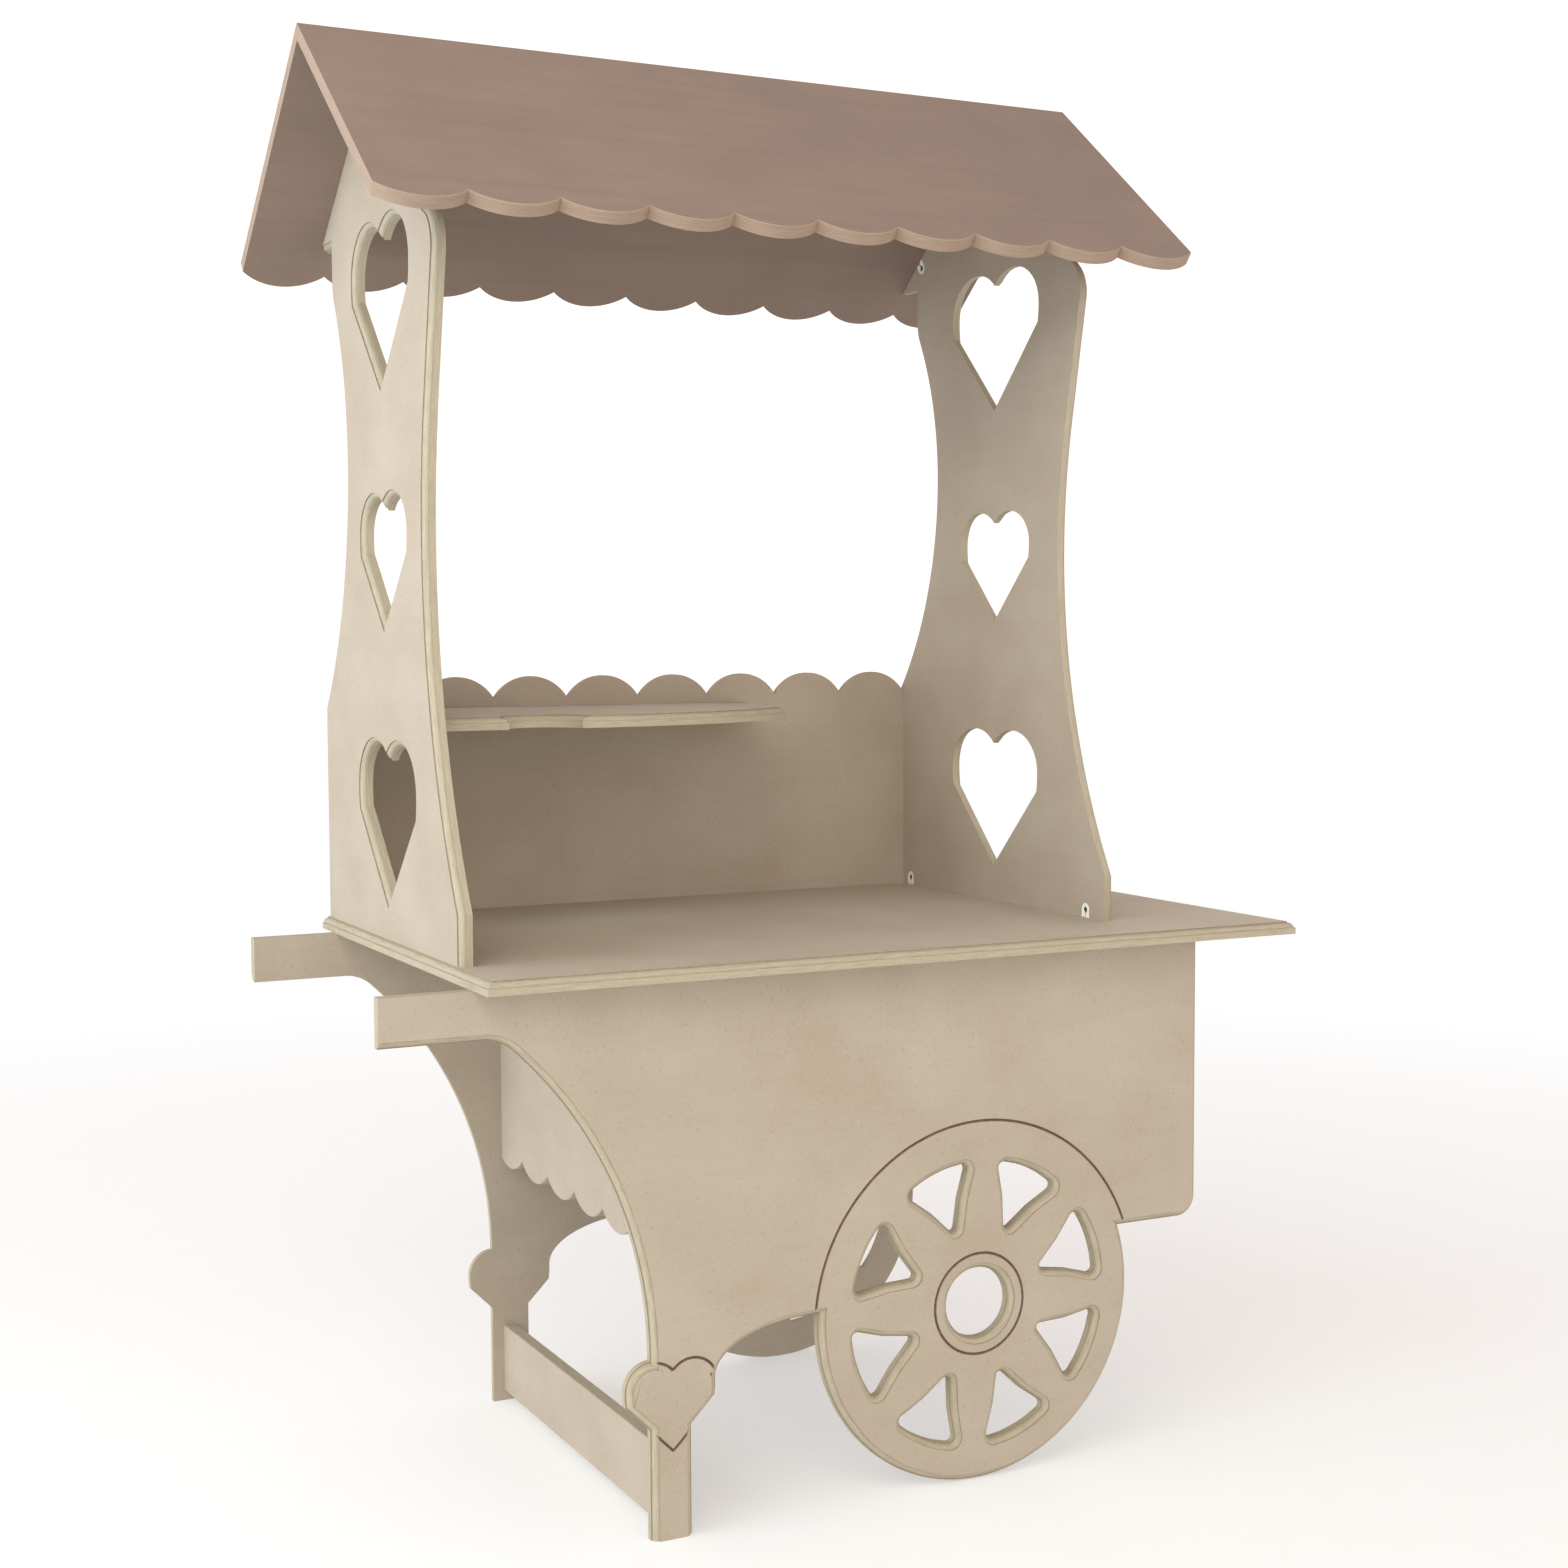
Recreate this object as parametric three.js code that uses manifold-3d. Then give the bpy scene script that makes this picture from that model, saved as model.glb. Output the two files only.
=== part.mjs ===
import * as THREE from 'three';
import { mergeVertices } from 'three/addons/utils/BufferGeometryUtils.js';
import Module from 'manifold-3d';

// A buffet cart of routed boards, held together by cam fittings. Lengths are in millimetres.
// X runs from the handles to the overhanging end of the table, Y from front to back, Z up.
// Sizes along X start at the leg's outer edge, and along Y at the middle of the frame.

const wasm = await Module();
wasm.setup();

// Boards and the quarter-round moulding that runs round their outer faces
const boardThickness = 18;
const mouldWidth = 9;
const mouldDepth = 9;
const mouldSteps = 2;
const grooveWidth = 4;
const grooveDepth = 3;
const fitGap = 0.3;
const overrun = 3;
const chordError = 0.5;

// Side panels: handle, arch, leg, wheel and body cut from one board
const frameWidth = 638;
const panelHeight = 742;
const bodyLength = 867;
const bodyBottom = 331;
const bodyCornerRadius = 29;
const handleReach = 357;
const handleDepth = 64;
const handleFillet = 60;
const archRadius = 572;
const archFoot = 243;
const legWidth = 58;
const smallArchFoot = 205;
const smallArchRise = 63;

// Wheels, one with their panels
const wheelRadius = 250;
const wheelDistance = 495;
const wheelGrooveOffset = 7;
const hubGrooveRadius = 71;
const hubHoleRadius = 49;
const spokeCount = 8;
const windowInner = 104;
const windowBend = 150;
const windowBendHalf = 24;
const windowOuter = 206;
const windowHalfAngle = THREE.MathUtils.degToRad(15.6);
const windowTipFillet = 6;
const windowCornerFillet = 8;

// Hearts: the widths and the leg's tip height, the outline as shares of the width, and the
// tips' heights in an upright as shares of its own height
const legHeartWidth = 129;
const legHeartTip = 118;
const largeHeartWidth = 250;
const smallHeartWidth = 200;
const heartShares = { cornerX: 0.49, cornerY: 0.49, lobeX: 0.215, lobeY: 0.605, lobeA: 0.285, lobeB: 0.25 };
const legHeartShares = { ...heartShares, lobeY: 0.64, lobeB: 0.29 };
const heartFillShares = { x: 0.4, y: 0.6 };
const heartTipShares = { low: 0.0462, middle: 0.3615, high: 0.6322 };

// Table
const tableLength = 1236;
const tableWidth = 744;
const tableReach = 236;

// Uprights: half widths about the ridge, the shoulders' drops below the gable's corners, and the
// waists' heights as shares of the corners' height. The front waist's radius is a share of the
// largest one that still meets the shoulder.
const uprightInset = 10;
const bayLength = 965;
const uprightBaseHalf = 305;
const frontWaistHalf = 179;
const frontShoulderHalf = 236;
const frontShoulderDrop = 62.5;
const frontShoulderRadius = 56;
const frontNeckHalf = 201;
const backWaistHalf = 173;
const backWaistLowerRadius = 540;
const backShoulderHalf = 238;
const backShoulderDrop = 55.7;
const backShoulderRadius = 60;
const gableTipHalf = 288;
const waistShares = { front: 0.5496, back: 0.6819, frontRadius: 0.7666 };

// Roof
const ridgeHeight = 1995;
const roofSlope = THREE.MathUtils.degToRad(38.5);
const roofOverhang = 106.5;
const eaveDrop = 458;
const roofScallops = 10;
const roofScallopRise = 25;

// Back panel, shelf, aprons and stretchers
const backPanelHeight = 357;
const backScallops = 8;
const backScallopRise = 34;
const shelfHeight = 311;
const shelfLength = 671;
const shelfDepth = 424;
const shelfNotchStart = 113;
const shelfNotchRadius = 53;
const shelfSweepRadius = 560;
const shelfTipLength = 613;
const apronSetback = 18;
const apronDepth = 372;
const apronScallops = 6;
const apronScallopRise = 22;
const stretcherBottom = 15;
const stretcherHeight = 103;

// Cam fittings: a housing let into the board's face, a cam in it and a bolt in the next board
const housingWidth = 20;
const housingReach = 12;
const housingDepth = 14.2;
const camRadius = 6.2;
const camCapThickness = 3;
const camSink = 0.4;
const camRingInner = 4.3;
const camClearance = 0.5;
const camCrossLength = 8;
const camCrossWidth = 1.6;
const camCrossDepth = 1.6;
const boltHeadRadius = 3.2;
const boltHeadLength = 3;
const boltNeckRadius = 1.8;
const boltNeckLength = 5;
const boltRadius = 2.5;
const boltGrip = 11;
const fittingSides = 12;
const baseFittingBack = 329;
const baseFittingFront = 189;
const roofFittingReach = 298;

// Worked out from the sizes above
const tableTop = panelHeight + boardThickness;
const tableBack = tableWidth / 2;
const innerHalf = frameWidth / 2 - boardThickness;
const bayStart = uprightInset + boardThickness - tableReach;
const bayMiddle = bayStart + bayLength / 2;
const roofLength = bayLength + 2 * (boardThickness + roofOverhang);
const ridgeY = tableBack - uprightBaseHalf;
const gablePeak = ridgeHeight - (boardThickness + fitGap) / Math.cos(roofSlope) - tableTop;
const gableTipHeight = gablePeak - gableTipHalf * Math.tan(roofSlope);
const wheelGrooveRadius = wheelRadius + wheelGrooveOffset;
const camDepth = boardThickness / 2;
const halfTurn = Math.PI;
const quarterTurn = Math.PI / 2;

const boardMaterial = new THREE.MeshStandardMaterial({ color: 0xbaa792, roughness: 0.78, metalness: 0 });
const roofMaterial = new THREE.MeshStandardMaterial({ color: 0x9a8273, roughness: 0.8, metalness: 0 });
const housingMaterial = new THREE.MeshStandardMaterial({ color: 0xe9e6da, roughness: 0.45, metalness: 0 });
const camMaterial = new THREE.MeshStandardMaterial({ color: 0x9b9c9e, roughness: 0.4, metalness: 1 });
const boltMaterial = new THREE.MeshStandardMaterial({ color: 0xb9babc, roughness: 0.35, metalness: 1 });

// A closed three.js geometry as a solid, with its double points merged and flat slivers left out.
function solid(geometry) {
  const bare = geometry.clone();
  bare.deleteAttribute('normal');
  bare.deleteAttribute('uv');
  const merged = mergeVertices(bare);
  const triangles = [];
  for (let i = 0; i < merged.index.count; i += 3) {
    const corners = [0, 1, 2].map((k) => merged.index.getX(i + k));
    if (new Set(corners).size === 3) triangles.push(...corners);
  }
  return new wasm.Manifold(new wasm.Mesh({
    numProp: 3,
    vertProperties: new Float32Array(merged.attributes.position.array),
    triVerts: new Uint32Array(triangles),
  }));
}

// A named mesh of a solid.
function piece(name, body, material) {
  const { vertProperties, triVerts } = body.getMesh();
  const geometry = new THREE.BufferGeometry();
  geometry.setAttribute('position', new THREE.BufferAttribute(vertProperties, 3));
  geometry.setIndex(new THREE.BufferAttribute(triVerts, 1));
  const flat = geometry.toNonIndexed();
  flat.computeVertexNormals();
  const mesh = new THREE.Mesh(flat, material);
  mesh.name = name;
  return mesh;
}

const at = (x, y, z) => new THREE.Vector3(x, y, z);
const point = (x, y) => new THREE.Vector2(x, y);
const right = at(1, 0, 0);
const left = at(-1, 0, 0);
const back = at(0, 1, 0);
const front = at(0, -1, 0);
const up = at(0, 0, 1);

// Sets an object down with its own Y and Z along two given directions.
function place(object, position, y, z) {
  const x = y.clone().cross(z);
  object.position.copy(position);
  object.quaternion.setFromRotationMatrix(new THREE.Matrix4().makeBasis(x, y, z));
  return object;
}

// Points along an elliptical arc, in steps that keep to the chord error.
function arc(cx, cy, rx, ry, start, end) {
  const step = 2 * Math.acos(1 - Math.min(chordError / Math.max(rx, ry), 1));
  const steps = Math.max(2, Math.ceil(Math.abs(end - start) / step));
  return new THREE.EllipseCurve(cx, cy, rx, ry, start, end, end < start).getPoints(steps);
}

// A shape through the points, leaving out repeats. A hand of -1 draws the mirrored board.
function outline(points, hand = 1) {
  const next = (i) => points[(i + 1) % points.length];
  const kept = points.filter((p, i) => p.distanceTo(next(i)) > chordError / 10);
  return new THREE.Shape(kept.map((p) => point(p.x * hand, p.y)));
}

function rectangle(x0, y0, x1, y1) {
  return new THREE.Shape([point(x0, y0), point(x1, y0), point(x1, y1), point(x0, y1)]);
}

// A straight prism over a shape, from one height to another.
function prism(shape, bottom, top) {
  const geometry = new THREE.ExtrudeGeometry(shape, { depth: top - bottom, bevelEnabled: false });
  return solid(geometry.translate(0, 0, bottom));
}

// A solid turned about Z from a closed profile of radii and heights.
function turned(profile, sides) {
  return new THREE.LatheGeometry(profile, sides).rotateX(quarterTurn);
}

// How many sides a full circle gets: a whole number for each quarter, so that it meets its box.
function sidesOf(radius) {
  return 4 * (arc(0, 0, radius, radius, 0, quarterTurn).length - 1);
}

// A blank whose outer arris steps in, or out for a cutter, in a quarter round.
function quarterRound(shape, inset) {
  const geometry = new THREE.ExtrudeGeometry(shape, {
    depth: boardThickness - mouldDepth + overrun,
    bevelThickness: mouldDepth,
    bevelSize: inset,
    bevelOffset: -inset,
    bevelSegments: mouldSteps,
  });
  return solid(geometry.translate(0, 0, -overrun));
}

// A board with its inner face at 0 and the moulding round its outer face. The blank is larger
// where an edge stays plain, and the trim shape cuts it back there.
function mouldedBoard(shape, trim) {
  return quarterRound(shape, mouldWidth).intersect(prism(trim, 0, boardThickness));
}

// A cutter for an opening with the moulding round its outer arris.
function mouldedCutter(shape) {
  return quarterRound(shape, -mouldWidth);
}

// The lower line of a row of scallops from left to right, their lowest points at a given height.
function scallops(length, count, rise, lowest) {
  const pitch = length / count;
  const radius = (pitch * pitch / 4 + rise * rise) / (2 * rise);
  const half = Math.asin(pitch / 2 / radius);
  const points = [];
  for (let i = 0; i < count; i++) {
    const middle = pitch * (i + 1 / 2) - length / 2;
    points.push(...arc(middle, lowest + radius, radius, radius, -quarterTurn - half, half - quarterTurn));
  }
  return points;
}

// A polygon with each corner rounded by its own radius.
function roundedPolygon(corners) {
  const points = [];
  corners.forEach(([corner, radius], i) => {
    if (radius === 0) {
      points.push(corner);
      return;
    }
    const before = corners[(i + corners.length - 1) % corners.length][0];
    const after = corners[(i + 1) % corners.length][0];
    const toBefore = before.clone().sub(corner).normalize();
    const toAfter = after.clone().sub(corner).normalize();
    const half = Math.acos(toBefore.dot(toAfter)) / 2;
    const middle = toBefore.clone().add(toAfter).normalize();
    const centre = corner.clone().addScaledVector(middle, radius / Math.sin(half));
    const start = corner.clone().addScaledVector(toBefore, radius / Math.tan(half)).sub(centre).angle();
    const turn = Math.sign(toAfter.cross(toBefore)) * (halfTurn - 2 * half);
    points.push(...arc(centre.x, centre.y, radius, radius, start, start + turn));
  });
  return points;
}

// The V section of a groove in a board's outer face, about a given middle.
function grooveSection(middle) {
  const spread = (grooveWidth / 2) * (grooveDepth + overrun) / grooveDepth;
  return [
    point(middle, boardThickness - grooveDepth),
    point(middle + spread, boardThickness + overrun),
    point(middle - spread, boardThickness + overrun),
  ];
}

function grooveRing(radius) {
  const section = grooveSection(radius);
  return turned([...section, section[0]], sidesOf(radius));
}

function grooveLine(from, to) {
  const section = new THREE.Shape(grooveSection(0));
  const length = from.distanceTo(to);
  const groove = new THREE.ExtrudeGeometry(section, { depth: length, bevelEnabled: false });
  groove.rotateX(quarterTurn).rotateZ(to.clone().sub(from).angle() + quarterTurn);
  return solid(groove.translate(from.x, from.y, 0));
}

// The three convex shapes of a heart: two lobes and the pointed part between them.
function heartShapes(width, shares, x, tip) {
  const lobe = (side) => outline(arc(
    x + side * shares.lobeX * width, tip + shares.lobeY * width,
    shares.lobeA * width, shares.lobeB * width, 0, 2 * halfTurn,
  ));
  const wedge = outline([
    point(x, tip),
    point(x + shares.cornerX * width, tip + shares.cornerY * width),
    point(x + heartFillShares.x * width, tip + heartFillShares.y * width),
    point(x - heartFillShares.x * width, tip + heartFillShares.y * width),
    point(x - shares.cornerX * width, tip + shares.cornerY * width),
  ]);
  return [lobe(-1), lobe(1), wedge];
}

// The grooves that carry the heart's outline on across the leg and the panel.
function heartGrooves(width, shares, x, tip) {
  const grooves = [];
  for (const side of [-1, 1]) {
    const corner = point(x + side * shares.cornerX * width, tip + shares.cornerY * width);
    const clip = outline([point(x, corner.y), point(x + side * width, corner.y),
      point(x + side * width, tip + width), point(x, tip + width)]);
    const ring = grooveRing(shares.lobeA * width).scale(1, shares.lobeB / shares.lobeA, 1);
    ring.translate(x + side * shares.lobeX * width, tip + shares.lobeY * width, 0);
    grooves.push(solid(ring).intersect(prism(clip, 0, boardThickness + overrun)));
    grooves.push(grooveLine(corner, point(x, tip)));
  }
  return grooves;
}

// One opening between two spokes: a triangle with its point to the hub and a round outer side.
function windowPoints() {
  const rim = arc(0, 0, windowOuter, windowOuter, -windowHalfAngle, windowHalfAngle);
  const isEnd = (i) => i === 0 || i === rim.length - 1;
  return roundedPolygon([
    ...rim.map((p, i) => [p, isEnd(i) ? windowCornerFillet : 0]),
    [point(windowBend, windowBendHalf), 0],
    [point(windowInner, 0), windowTipFillet],
    [point(windowBend, -windowBendHalf), 0],
  ]);
}

// A wheel's disc with the moulding round its rim.
function wheelDisc() {
  const profile = [point(0, 0), point(wheelRadius, 0)];
  for (let i = 0; i <= mouldSteps; i++) {
    const angle = quarterTurn * i / mouldSteps;
    const inset = mouldWidth * (1 - Math.cos(angle));
    profile.push(point(wheelRadius - inset, boardThickness - mouldDepth * (1 - Math.sin(angle))));
  }
  profile.push(point(0, boardThickness));
  return turned(profile, sidesOf(wheelRadius));
}

// The groove round the tread, the one round the hub, the hub's hole and the spokes' windows.
function wheelCutters(x) {
  const hub = outline(arc(x, wheelRadius, hubHoleRadius, hubHoleRadius, 0, 2 * halfTurn));
  const cutters = [mouldedCutter(hub)];
  for (const radius of [wheelGrooveRadius, hubGrooveRadius]) {
    cutters.push(solid(grooveRing(radius).translate(x, wheelRadius, 0)));
  }
  const pitch = 2 * halfTurn / spokeCount;
  for (let i = 0; i < spokeCount; i++) {
    const turn = pitch * (i + 1 / 2);
    const points = windowPoints().map((p) => p.rotateAround(point(0, 0), turn));
    cutters.push(mouldedCutter(outline(points.map((p) => p.add(point(x, wheelRadius))))));
  }
  return cutters;
}

// The panel's own lines, drawn past the edges that stay plain.
function panelPoints() {
  const handleBottom = panelHeight - handleDepth;
  const filletY = handleBottom - handleFillet;
  const filletX = Math.sqrt((archRadius - handleFillet) ** 2 - (filletY - archFoot) ** 2) - archRadius;
  const meet = Math.atan2(filletY - archFoot, filletX + archRadius);
  const smallArchEnd = wheelDistance - wheelGrooveRadius;
  const smallArchRun = smallArchEnd - legWidth / 2 - legHeartWidth / 2;
  const cornerX = bodyLength - bodyCornerRadius;
  const cornerY = bodyBottom + bodyCornerRadius;
  return [
    point(0, -mouldWidth),
    point(legWidth, -mouldWidth),
    point(legWidth, smallArchFoot),
    ...arc(smallArchEnd, smallArchFoot, smallArchRun, smallArchRise, halfTurn, quarterTurn),
    point(wheelDistance, smallArchFoot + smallArchRise),
    point(wheelDistance, bodyBottom),
    ...arc(cornerX, cornerY, bodyCornerRadius, bodyCornerRadius, -quarterTurn, 0),
    point(bodyLength, panelHeight + mouldWidth),
    point(-handleReach - mouldWidth, panelHeight + mouldWidth),
    point(-handleReach - mouldWidth, handleBottom),
    ...arc(filletX, filletY, handleFillet, handleFillet, quarterTurn, meet),
    ...arc(-archRadius, archFoot, archRadius, archRadius, meet, 0),
  ];
}

// A whole side panel. A hand of -1 gives the one on the far side.
function sidePanel(hand) {
  const ends = [-handleReach, bodyLength + overrun].map((x) => x * hand);
  const trim = rectangle(Math.min(...ends), 0, Math.max(...ends), panelHeight);
  const heart = [legHeartWidth, legHeartShares, hand * legWidth / 2, legHeartTip];
  let body = mouldedBoard(outline(panelPoints(), hand), trim);
  body = body.add(solid(wheelDisc().translate(hand * wheelDistance, wheelRadius, 0)));
  for (const shape of heartShapes(...heart)) body = body.add(mouldedBoard(shape, trim));
  for (const groove of heartGrooves(...heart)) body = body.subtract(groove);
  for (const cutter of wheelCutters(hand * wheelDistance)) body = body.subtract(cutter);
  return body;
}

// Where the fittings at the uprights' feet stand, along Y.
function footFittings() {
  return [baseFittingBack, -baseFittingFront];
}

// A hole from a board's face into the board along -Y, for a bolt's thread.
function boltHole() {
  const radius = boltRadius + fitGap;
  const depth = boltGrip + fitGap;
  const profile = [point(0, -depth), point(radius, -depth), point(radius, overrun), point(0, overrun)];
  return new THREE.LatheGeometry(profile, fittingSides);
}

// The table, moulded on the three edges that stand out, with holes for the uprights' bolts.
function table() {
  const half = tableWidth / 2;
  const shape = rectangle(0, -half, tableLength, half + mouldWidth);
  let body = mouldedBoard(shape, rectangle(-overrun, -half - overrun, tableLength + overrun, half));
  const first = uprightInset + camDepth;
  for (const x of [first, first + bayLength + 2 * camDepth]) {
    for (const y of footFittings()) {
      const hole = boltHole().rotateX(quarterTurn).translate(x, y, boardThickness);
      body = body.subtract(solid(hole));
    }
  }
  return body;
}

// The radius of a waist whose arc runs straight on into the arc of the shoulder above it.
function meetingRadius(waistHalf, waistHeight, shoulder, shoulderRadius) {
  const rise = shoulder.y - waistHeight;
  const run = shoulder.x - waistHalf;
  return (rise ** 2 + run ** 2 - shoulderRadius ** 2) / (2 * (run + shoulderRadius));
}

// The curve of an upright's front edge, from its foot up to the neck under the roof.
function frontEdge() {
  const waistHeight = waistShares.front * gableTipHeight;
  const shoulder = point(frontShoulderHalf - frontShoulderRadius, gableTipHeight - frontShoulderDrop);
  const largest = meetingRadius(frontWaistHalf, waistHeight, shoulder, frontShoulderRadius);
  const radius = waistShares.frontRadius * largest;
  const waist = point(frontWaistHalf + radius, waistHeight);
  const across = shoulder.clone().sub(waist);
  const lean = Math.acos((radius + frontShoulderRadius) / across.length());
  const tangent = across.angle() + lean;
  const foot = halfTurn + Math.acos((waist.x - uprightBaseHalf) / radius);
  const neck = Math.acos((frontNeckHalf - shoulder.x) / frontShoulderRadius);
  return [
    ...arc(waist.x, waist.y, radius, radius, foot, tangent),
    ...arc(shoulder.x, shoulder.y, frontShoulderRadius, frontShoulderRadius, tangent - halfTurn, neck),
  ];
}

// The curve of its back edge, whose shoulder runs straight up to the gable.
function backEdge() {
  const waistHeight = waistShares.back * gableTipHeight;
  const shoulder = point(backShoulderHalf - backShoulderRadius, gableTipHeight - backShoulderDrop);
  const radius = meetingRadius(backWaistHalf, waistHeight, shoulder, backShoulderRadius);
  const lower = point(backWaistHalf + backWaistLowerRadius, waistHeight);
  const upper = point(backWaistHalf + radius, waistHeight);
  const foot = halfTurn + Math.acos((lower.x - uprightBaseHalf) / backWaistLowerRadius);
  const tangent = shoulder.clone().sub(upper).angle();
  return [
    ...arc(lower.x, lower.y, backWaistLowerRadius, backWaistLowerRadius, foot, halfTurn),
    ...arc(upper.x, upper.y, radius, radius, halfTurn, tangent),
    ...arc(shoulder.x, shoulder.y, backShoulderRadius, backShoulderRadius, tangent - halfTurn, 0),
  ];
}

// The outline of an upright about the ridge, drawn past its foot and its gable, which stay plain.
function uprightShape(hand) {
  const slack = mouldWidth / Math.cos(roofSlope) + overrun;
  return outline([
    point(uprightBaseHalf, -mouldWidth),
    ...backEdge(),
    point(backShoulderHalf, gableTipHeight),
    point(gableTipHalf + 2 * slack, gableTipHeight),
    point(0, gablePeak + 2 * slack),
    point(-gableTipHalf - 2 * slack, gableTipHeight),
    point(-frontNeckHalf, gableTipHeight),
    ...frontEdge().map((p) => point(-p.x, p.y)).reverse(),
    point(-uprightBaseHalf, -mouldWidth),
  ], hand);
}

// An upright: waisted edges, a gable for the roof, three heart-shaped openings and sockets for
// the fittings. Its X runs from front to back, or the other way with a hand of -1.
function upright(hand) {
  const wide = uprightBaseHalf + overrun;
  const eaves = gablePeak - wide * Math.tan(roofSlope);
  const trim = outline([point(-wide, 0), point(wide, 0), point(wide, eaves), point(0, gablePeak),
    point(-wide, eaves)]);
  let body = mouldedBoard(uprightShape(hand), trim);
  const hearts = [
    [largeHeartWidth, heartTipShares.low],
    [smallHeartWidth, heartTipShares.middle],
    [largeHeartWidth, heartTipShares.high],
  ];
  for (const [width, share] of hearts) {
    for (const shape of heartShapes(width, heartShares, 0, share * gablePeak)) {
      body = body.subtract(mouldedCutter(shape));
    }
  }
  const depth = housingDepth + fitGap;
  for (const { x, y, turn } of fittingPlaces()) {
    const socket = new THREE.ExtrudeGeometry(housingShape(fitGap, -overrun), {
      depth: depth + overrun,
      bevelEnabled: false,
    });
    socket.translate(0, 0, -overrun).rotateZ(hand * turn).translate(hand * x, y, 0);
    body = body.subtract(solid(socket));
  }
  return body;
}

// The four fittings of an upright: their places on its edges, and how far each is turned from
// one that stands on the foot.
function fittingPlaces() {
  const across = roofFittingReach * Math.cos(roofSlope);
  const height = gablePeak - roofFittingReach * Math.sin(roofSlope);
  const gable = (side) => ({ x: side * across, y: height, turn: side * (halfTurn - roofSlope) });
  return [...footFittings().map((y) => ({ x: y - ridgeY, y: 0, turn: 0 })), gable(1), gable(-1)];
}

// The outline of a fitting's housing: square at the board's edge and round at its inner end.
function housingShape(gap, bottom) {
  const half = housingWidth / 2 + gap;
  const end = new THREE.EllipseCurve(0, housingReach, half, half, 0, halfTurn);
  return outline([point(-half, bottom), point(half, bottom), ...end.getPoints(fittingSides / 2)]);
}

// The housing, with a round chamber for the cam and a hole for the bolt. In the three pieces of
// a fitting Y runs into the board from its edge and Z out of its face.
function housing() {
  const radius = camRadius + camClearance;
  const floor = camDepth + boltHeadRadius + camClearance;
  const chamber = turned(
    [point(0, -floor), point(radius, -floor), point(radius, overrun), point(0, overrun)],
    fittingSides,
  );
  const bore = new THREE.CylinderGeometry(boltRadius + fitGap, boltRadius + fitGap,
    housingReach + overrun, fittingSides);
  return prism(housingShape(0, fitGap), -housingDepth, 0)
    .subtract(solid(chamber.translate(0, housingReach, 0)))
    .subtract(solid(bore.translate(0, (housingReach - overrun) / 2, -camDepth)));
}

// The cam: a cap with a cross for the screwdriver over a ring that hooks the bolt's head. The
// ring is open on the far side, where the head comes in, and slotted half way round for the neck.
function cam() {
  const under = -camSink - camCapThickness;
  const bottom = -camDepth - boltHeadRadius;
  const cap = [point(0, under), point(camRadius, under), point(camRadius, -camSink), point(0, -camSink)];
  const ring = [point(camRingInner, bottom), point(camRadius, bottom), point(camRadius, -camSink),
    point(camRingInner, -camSink)];
  const entry = boltHeadRadius + camClearance;
  const slot = boltNeckRadius + camClearance;
  const reach = camRadius + overrun;
  let body = solid(turned([...ring, ring[0]], fittingSides))
    .subtract(prism(rectangle(-entry, 0, entry, reach), bottom - overrun, under))
    .subtract(prism(rectangle(-reach, -reach, slot, reach), -camDepth - slot, slot - camDepth))
    .add(solid(turned(cap, fittingSides)));
  for (const [x, y] of [[camCrossLength, camCrossWidth], [camCrossWidth, camCrossLength]]) {
    const arm = rectangle(-x / 2, -y / 2, x / 2, y / 2);
    body = body.subtract(prism(arm, -camSink - camCrossDepth, overrun));
  }
  return body;
}

// The bolt: a head inside the cam's ring, a thin neck, and a thread in the next board.
function bolt() {
  const headTop = housingReach + boltHeadLength / 2;
  const headBottom = headTop - boltHeadLength;
  const neckBottom = headBottom - boltNeckLength;
  const profile = [
    point(0, -boltGrip),
    point(boltRadius, -boltGrip),
    point(boltRadius, neckBottom),
    point(boltNeckRadius, neckBottom),
    point(boltNeckRadius, headBottom),
    point(boltHeadRadius, headBottom),
    point(boltHeadRadius, headTop),
    point(0, headTop),
  ];
  return solid(new THREE.LatheGeometry(profile, fittingSides).translate(0, 0, -camDepth));
}

// One fitting of three pieces, as a group that stands on the edge of its board.
function fitting(name) {
  const group = new THREE.Group();
  const turningCam = piece(`${name}_cam`, cam(), camMaterial);
  turningCam.position.y = housingReach;
  group.add(piece(`${name}_housing`, housing(), housingMaterial), turningCam);
  group.add(piece(`${name}_bolt`, bolt(), boltMaterial));
  return group;
}

// An upright with its four fittings let into its inner face.
function uprightAssembly(side, hand) {
  const group = new THREE.Group();
  group.add(piece(`upright_${side}`, upright(hand), boardMaterial));
  const names = ['foot_back', 'foot_front', 'gable_back', 'gable_front'];
  fittingPlaces().forEach(({ x, y, turn }, i) => {
    const into = at(-Math.sin(hand * turn), Math.cos(hand * turn), 0);
    group.add(place(fitting(`${names[i]}_${side}`), at(hand * x, y, 0), into, at(0, 0, -1)));
  });
  return group;
}

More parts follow.
